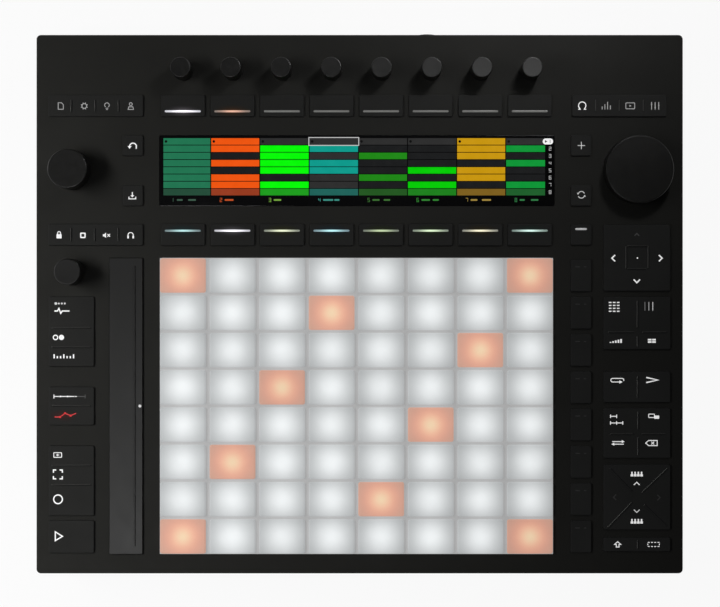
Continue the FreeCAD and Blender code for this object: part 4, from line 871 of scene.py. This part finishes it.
# upper right bar: open ring, level bars, screen, faders
g = Legend("upper_right_bar")
x, y = 130.6, 115.5
g.line([(x + 2.35, y - 2.0), (x + 1.2, y - 1.95)] + arc(x, y + 0.15, 2.15, -56, 236, 26)[1:-1] + [(x - 1.2, y - 1.95), (x - 2.35, y - 2.0)], 0.55)
x = 144.7
for k, hh in enumerate((1.7, 3.0, 4.4, 2.3)):
    g.line([(x - 2.4 + k * 1.6, y - 2.1), (x - 2.4 + k * 1.6, y - 2.1 + hh)], 0.42, material=m_grey)
x = 158.8
g.line(box_loop(x, y, 5.2, 3.5, 0.4, 2), 0.38, True, m_grey)
g.shape([(x - 0.45, y - 0.65), (x + 0.65, y), (x - 0.45, y + 0.65)], m_grey)
x = 173.4
for k, ky in enumerate((0.9, -0.9, 0.3)):
    g.line([(x - 2.1 + k * 2.1, y - 2.2), (x - 2.1 + k * 2.1, y + 2.2)], 0.42, material=m_grey)
    g.shape(box_loop(x - 2.1 + k * 2.1, y + ky, 0.75, 0.5), m_grey)
g.done()

# undo and save: arrow that turns back, arrow into a tray
g = Legend("undo_key")
x, y = -133.3, 92.2
g.line(arc(x + 0.3, y - 0.6, 2.0, 180, 15, 16) + [(x + 2.2, y - 1.9)], 0.72)
g.shape([(x - 2.95, y - 0.3), (x - 0.45, y - 0.3), (x - 1.7, y - 1.9)])
g.done()
g = Legend("save_key")
x, y = -133.4, 62.9
g.line([(x, y + 2.0), (x, y - 0.4)], 0.6)
g.shape([(x - 1.15, y + 0.1), (x, y - 1.15), (x + 1.15, y + 0.1)])
g.line([(x - 2.0, y - 0.7), (x - 2.0, y - 2.0), (x + 2.0, y - 2.0), (x + 2.0, y - 0.7)], 0.55)
g.done()

# plus, and two arrows that chase each other
g = Legend("plus_key")
x, y = 130.1, 92.2
g.line([(x - 2.15, y), (x + 2.15, y)], 0.42, material=m_mid)
g.line([(x, y + 0.21), (x, y + 2.15)], 0.42, material=m_mid)
g.line([(x, y - 2.15), (x, y - 0.21)], 0.42, material=m_mid)
g.done()
g = Legend("swap_key")
x, y = 130.1, 63.3
g.line(arc(x, y, 1.95, 25, 140, 14), 0.45, material=m_mid)
g.line(arc(x, y, 1.95, 205, 320, 14), 0.45, material=m_mid)
g.shape([(x - 2.55, y + 1.1), (x - 1.15, y + 1.25), (x - 2.0, y + 0.0)], m_mid)
g.shape([(x + 2.55, y - 1.1), (x + 1.15, y - 1.25), (x + 2.0, y - 0.0)], m_mid)
g.done()

# lower left bar: lock, stop, muted speaker, headphones
g = Legend("lower_left_bar")
x, y = -176.4, 39.5
g.shape(box_loop(x, y - 0.55, 3.0, 2.5, 0.25, 2))
g.line([(x - 0.85, y + 0.6), (x - 0.85, y + 1.35)] + arc(x, y + 1.35, 0.85, 180, 0, 10)[1:-1] + [(x + 0.85, y + 1.35), (x + 0.85, y + 0.6)], 0.5)
x = -162.4
g.line(box_loop(x, y, 2.5, 2.5, 0.2, 2), 0.78, True)
x = -148.6
g.shape([(x - 2.1, y - 0.65), (x - 1.3, y - 0.65), (x - 0.2, y - 1.6), (x - 0.2, y + 1.6), (x - 1.3, y + 0.65), (x - 2.1, y + 0.65)])
g.line([(x + 0.6, y - 0.8), (x + 2.1, y + 0.8)], 0.5)
g.line([(x + 0.6, y + 0.8), (x + 2.1, y - 0.8)], 0.5)
x = -134.4
g.line([(x - 1.55, y - 0.2)] + arc(x, y + 0.1, 1.55, 180, 0, 14) + [(x + 1.55, y - 0.2)], 0.5)
g.shape(box_loop(x - 1.5, y - 0.95, 0.95, 1.7, 0.2, 2))
g.shape(box_loop(x + 1.5, y - 0.95, 0.95, 1.7, 0.2, 2))
g.done()

# direction pad
g = Legend("direction_pad")
for (x, y), (dx, dy), k, material in (((149.0, 26.1), (-1, 0), 1.0, m_legend), ((176.5, 26.1), (1, 0), 1.0, m_legend),
                                      ((162.65, 12.7), (0, -1), 1.0, m_legend), ((162.65, 39.9), (0, 1), 0.72, m_dim)):
    px, py = -dy, dx
    tip = (x + dx * k, y + dy * k)
    g.line([(x - dx * 0.9 * k + px * 1.85 * k, y - dy * 0.9 * k + py * 1.85 * k), tip,
            (x - dx * 0.9 * k - px * 1.85 * k, y - dy * 0.9 * k - py * 1.85 * k)], 0.76 * k, material=material)
g.dot(163.0, 26.2, 0.42)
g.done()

# layout block: step grid, three bars, stairs, four tiles
g = Legend("layout_block")
for a in range(3):
    for b in range(4):
        g.shape(box_loop(149.3 - 2.3 + a * 2.35, -2.45 + 2.55 - b * 1.72, 1.55, 0.66))
for a, material in enumerate((m_low, m_grey, m_mid)):
    g.line([(169.7 - 2.3 + a * 2.3, -4.6), (169.7 - 2.3 + a * 2.3, 0.4)], 0.40, material=material)
for k in range(5):
    g.shape(box_loop(147.2 + k * 1.55, -23.6 + (0.55 + k * 0.42) / 2, 0.95, 0.55 + k * 0.42))
for a in range(2):
    for b in range(2):
        g.shape(box_loop(170.2 + a * 2.5, -23.1 + b * 1.35, 2.1, 0.95))
g.done()

# repeat block: a loop with an arrow, an accent
g = Legend("repeat_block")
x, y = 151.2, -45.5
g.line(box_loop(x, y, 7.6, 2.1, 1.0, 4)[3:] + box_loop(x, y, 7.6, 2.1, 1.0, 4)[:1], 0.5)
g.shape([(x + 1.2, y - 2.0), (x + 3.0, y - 1.05), (x + 1.2, y - 0.1)])
x, y = 171.6, -45.4
g.line([(x - 3.4, y + 1.5), (x + 3.4, y), (x - 3.4, y - 1.5)], 0.8)
g.done()

# loop block: one length twice, two overlapping tiles, exchange arrows, a wipe-back sign
g = Legend("loop_block")
x, y = 150.4, -66.7
for k in range(2):
    cy = y - k * 3.9
    length = 3.6 + k * 3.6
    g.line([(147.2, cy), (147.2 + length, cy)], 0.5)
    for tx in ((147.2, 147.2 + length) if k == 0 else (147.2, 147.2 + length / 2, 147.2 + length)):
        g.line([(tx, cy - 1.0), (tx, cy + 1.0)], 0.5)
x, y = 172.6, -66.7
g.line(box_loop(x - 1.3, y + 0.3, 3.4, 2.0, 0.3, 2), 0.45, True)
g.shape(box_loop(x + 1.7, y - 0.5, 2.9, 1.9, 0.3, 2))
x, y = 151.6, -82.3
g.line([(x - 3.4, y + 0.75), (x + 2.6, y + 0.75)], 0.5)
g.shape([(x + 2.2, y - 0.15), (x + 3.9, y + 0.75), (x + 2.2, y + 1.65)])
g.line([(x - 2.6, y - 0.75), (x + 3.4, y - 0.75)], 0.5)
g.shape([(x - 2.2, y + 0.15), (x - 3.9, y - 0.75), (x - 2.2, y - 1.65)])
x, y = 171.3, -82.4
g.line([(x - 3.5, y), (x - 1.7, y + 1.5), (x + 3.3, y + 1.5), (x + 3.3, y - 1.5), (x - 1.7, y - 1.5)], 0.5, True)
g.line([(x - 0.1, y - 0.8), (x + 1.5, y + 0.8)], 0.5)
g.line([(x - 0.1, y + 0.8), (x + 0.42, y + 0.28)], 0.5)
g.line([(x + 0.98, y - 0.28), (x + 1.5, y - 0.8)], 0.5)
g.done()

# page block: chevrons between two short keyboards for one octave up or down, dim chevrons beside
g = Legend("page_block")
x = 162.6
for y in (-100.6, -128.3):
    for k in range(4):
        kx = x - 2.8 + k * 1.87
        g.shape([(kx - 0.78, y - 1.35), (kx + 0.78, y - 1.35), (kx + 0.78, y - 0.1), (kx + 0.42, y - 0.1), (kx + 0.42, y + 1.35),
                 (kx - 0.42, y + 1.35), (kx - 0.42, y - 0.1), (kx - 0.78, y - 0.1)])
g.line([(x - 1.7, -107.0), (x, -105.4), (x + 1.7, -107.0)], 0.5)
g.line([(x - 1.7, -121.5), (x, -123.1), (x + 1.7, -121.5)], 0.5, material=m_mid)
g.line([(150.5, -112.6), (148.9, -114.2), (150.5, -115.8)], 0.55, material=m_faint)
g.line([(174.7, -112.8), (176.3, -114.4), (174.7, -116.0)], 0.55, material=m_faint)
g.done()

# shift block: hollow arrow up, dashed frame
g = Legend("shift_block")
x, y = 151.4, -141.9
g.line([(x - 0.8, y - 1.5), (x - 0.8, y), (x - 1.9, y), (x, y + 1.6), (x + 1.9, y), (x + 0.8, y), (x + 0.8, y - 1.5)], 0.52, True)
x = 172.5
for k in range(4):
    g.line([(x - 3.4 + k * 1.9, y + 1.2), (x - 2.3 + k * 1.9, y + 1.2)], 0.45)
    g.line([(x - 3.4 + k * 1.9, y - 1.2), (x - 2.3 + k * 1.9, y - 1.2)], 0.45)
g.line([(x - 3.4, y - 0.5), (x - 3.4, y + 0.5)], 0.45)
g.line([(x + 3.4, y - 0.5), (x + 3.4, y + 0.5)], 0.45)
g.done()

# tap block: beats and a pulse, ring and dot, tick scale
g = Legend("tap_block")
for k in range(4):
    g.dot(-178.3 + k * 1.75, -0.5, 0.55 if k else 0.8, m_mid)
g.line([(-179.1, -4.9), (-177.3, -4.9), (-176.5, -3.4), (-175.4, -6.2), (-174.5, -4.9), (-170.3, -4.9)], 0.75)
g.ring(-178.5, -20.4, 1.3, 0.62)
g.dot(-175.0, -20.4, 1.55)
for k in range(7):
    hh = 2.4 if k % 3 == 0 else 1.4
    g.line([(-179.3 + k * 1.9, -32.7), (-179.3 + k * 1.9, -32.7 + hh)], 0.8)
g.done()

# automate block: a length with end marks that fades, a red curve with its points
g = Legend("automate_block")
g.line([(-179.4, -56.2), (-179.4, -53.9)], 0.5)
g.line([(-179.1, -55.05), (-166.0, -55.05)], 0.5)
for k, material in enumerate((m_legend, m_legend, m_dim)):
    g.line([(-175.6 + k * 4.2, -55.6), (-175.6 + k * 4.2, -54.5)], 0.4, material=material)
g.line([(-165.9, -55.05), (-161.4, -55.05)], 0.5, material=m_dim)
g.line([(-161.1, -56.2), (-161.1, -53.9)], 0.5, material=m_dim)
g.line([(-179.0, -67.1), (-175.8, -67.1), (-172.9, -64.9), (-169.6, -66.3), (-166.4, -64.9)], 0.5, material=m_red)
for px, py in ((-175.8, -67.1), (-172.9, -64.9), (-169.6, -66.3)):
    g.shape(box_loop(px, py, 1.05, 1.05), m_red)
g.done()

# record block: a new page, four corners, a ring
g = Legend("record_block")
x, y = -177.2, -89.4
g.line(box_loop(x, y, 4.6, 2.7, 0.3, 2), 0.45, True)
g.line([(x - 0.9, y), (x + 0.9, y)], 0.42)
g.line([(x, y - 0.75), (x, y - 0.22)], 0.42)
g.line([(x, y + 0.22), (x, y + 0.75)], 0.42)
x, y = -177.1, -100.8
for sx in (-1, 1):
    for sy in (-1, 1):
        g.line([(x + sx * 2.6, y + sy * 1.0), (x + sx * 2.6, y + sy * 2.6), (x + sx * 1.0, y + sy * 2.6)], 0.7)
g.ring(-177.0, -115.4, 2.55, 0.72)
g.done()
g = Legend("play_key")
x, y = -176.7, -137.1
g.line([(x - 1.9, y - 2.6), (x + 2.3, y), (x - 1.9, y + 2.6)], 0.72, True)
g.done()

# row keys: two faint marks on each
g = Legend("row_key_strip")
for j in range(8):
    yy = row(j)
    g.shape(box_loop(127.9, yy + 5.1, 2.6, 0.42), m_faint)
    g.shape(box_loop(132.3, yy + 5.1, 1.4, 0.42), m_faint)
g.done()

# marker light on the touch strip
bm = bmesh.new()
lathe(bm, -128.95, -60.7, [(0.0, 31.95), (0.85, 31.95), (0.85, 32.02), (0.72, 32.10), (0.4, 32.16), (0.0, 32.18)], 32)
finish_mesh(bm, "strip_marker_light", "root", [lit("marker_white", (1.0, 1.0, 1.0), 0.55, base=(0.2, 0.2, 0.2))], smooth_angle=40)

# ------------------------------------------------------------------- stage
bm = bmesh.new()
bmesh.ops.create_grid(bm, x_segments=1, y_segments=1, size=6.0)
me = bpy.data.meshes.new("floor")
bm.to_mesh(me)
bm.free()
floor = bpy.data.objects.new("floor", me)
scene.collection.objects.link(floor)
n = Nodes("floor_paper")
n.bsdf.inputs["Base Color"].default_value = (0.03, 0.03, 0.03, 1.0)
n.bsdf.inputs["Emission Color"].default_value = (1.0, 1.0, 1.0, 1.0)
n.bsdf.inputs["Emission Strength"].default_value = 0.935
n.link(n.ramp(n.noise(30.0), 0.3, 0.7, 0.86, 0.94), n.bsdf.inputs["Roughness"])
n.bsdf.inputs["Specular IOR Level"].default_value = 0.1
me.materials.append(n.mat)

world = bpy.data.worlds.new("studio")
scene.world = world
world.use_nodes = True
world.node_tree.nodes["Background"].inputs[0].default_value = (1.0, 1.0, 1.0, 1.0)
world.node_tree.nodes["Background"].inputs[1].default_value = 0.02


def softbox(name, at, towards, size, power, matt=True, gloss=True, spread=180.0):
    """A round soft lamp, with a grid if spread is narrower; it may light only the matt part of the finishes or only their gloss."""
    data = bpy.data.lights.new(name, "AREA")
    data.shape = "DISK"
    data.size = size
    data.energy = power
    data.spread = math.radians(spread)
    obj = bpy.data.objects.new(name, data)
    scene.collection.objects.link(obj)
    obj.location = at
    obj.visible_camera = False
    obj.visible_diffuse, obj.visible_glossy = matt, gloss
    obj.rotation_mode = "QUATERNION"
    obj.rotation_quaternion = (Vector(towards) - Vector(at)).to_track_quat("-Z", "Y")
    return obj


softbox("left_light", (-0.90, 0.10, 0.70), (-1.2586, -0.2600, 0.0), 0.80, 39.0, gloss=False, spread=176.2)
softbox("rear_light", (0.20, 0.35, 0.32), (0.0493, 0.1675, 0.0), 0.09, 0.186, spread=82.6)
softbox("knob_sheen_light", (0.163, 0.296, 0.38), (0.04, 0.73, 0.0), 0.12, 0.85, matt=False)
softbox("sheen_light", (-0.48, -0.76, 2.0), (-0.14, -0.22, 0.0), 0.50, 10.0, matt=False)
softbox("rim_light", (-1.30, 0.40, 0.55), (0.0, 0.0, 0.0), 0.70, 2.4, matt=False)

scene.view_settings.view_transform = "Standard"
scene.view_settings.look = "None"
scene.view_settings.exposure = 0.0
scene.view_settings.gamma = 1.0
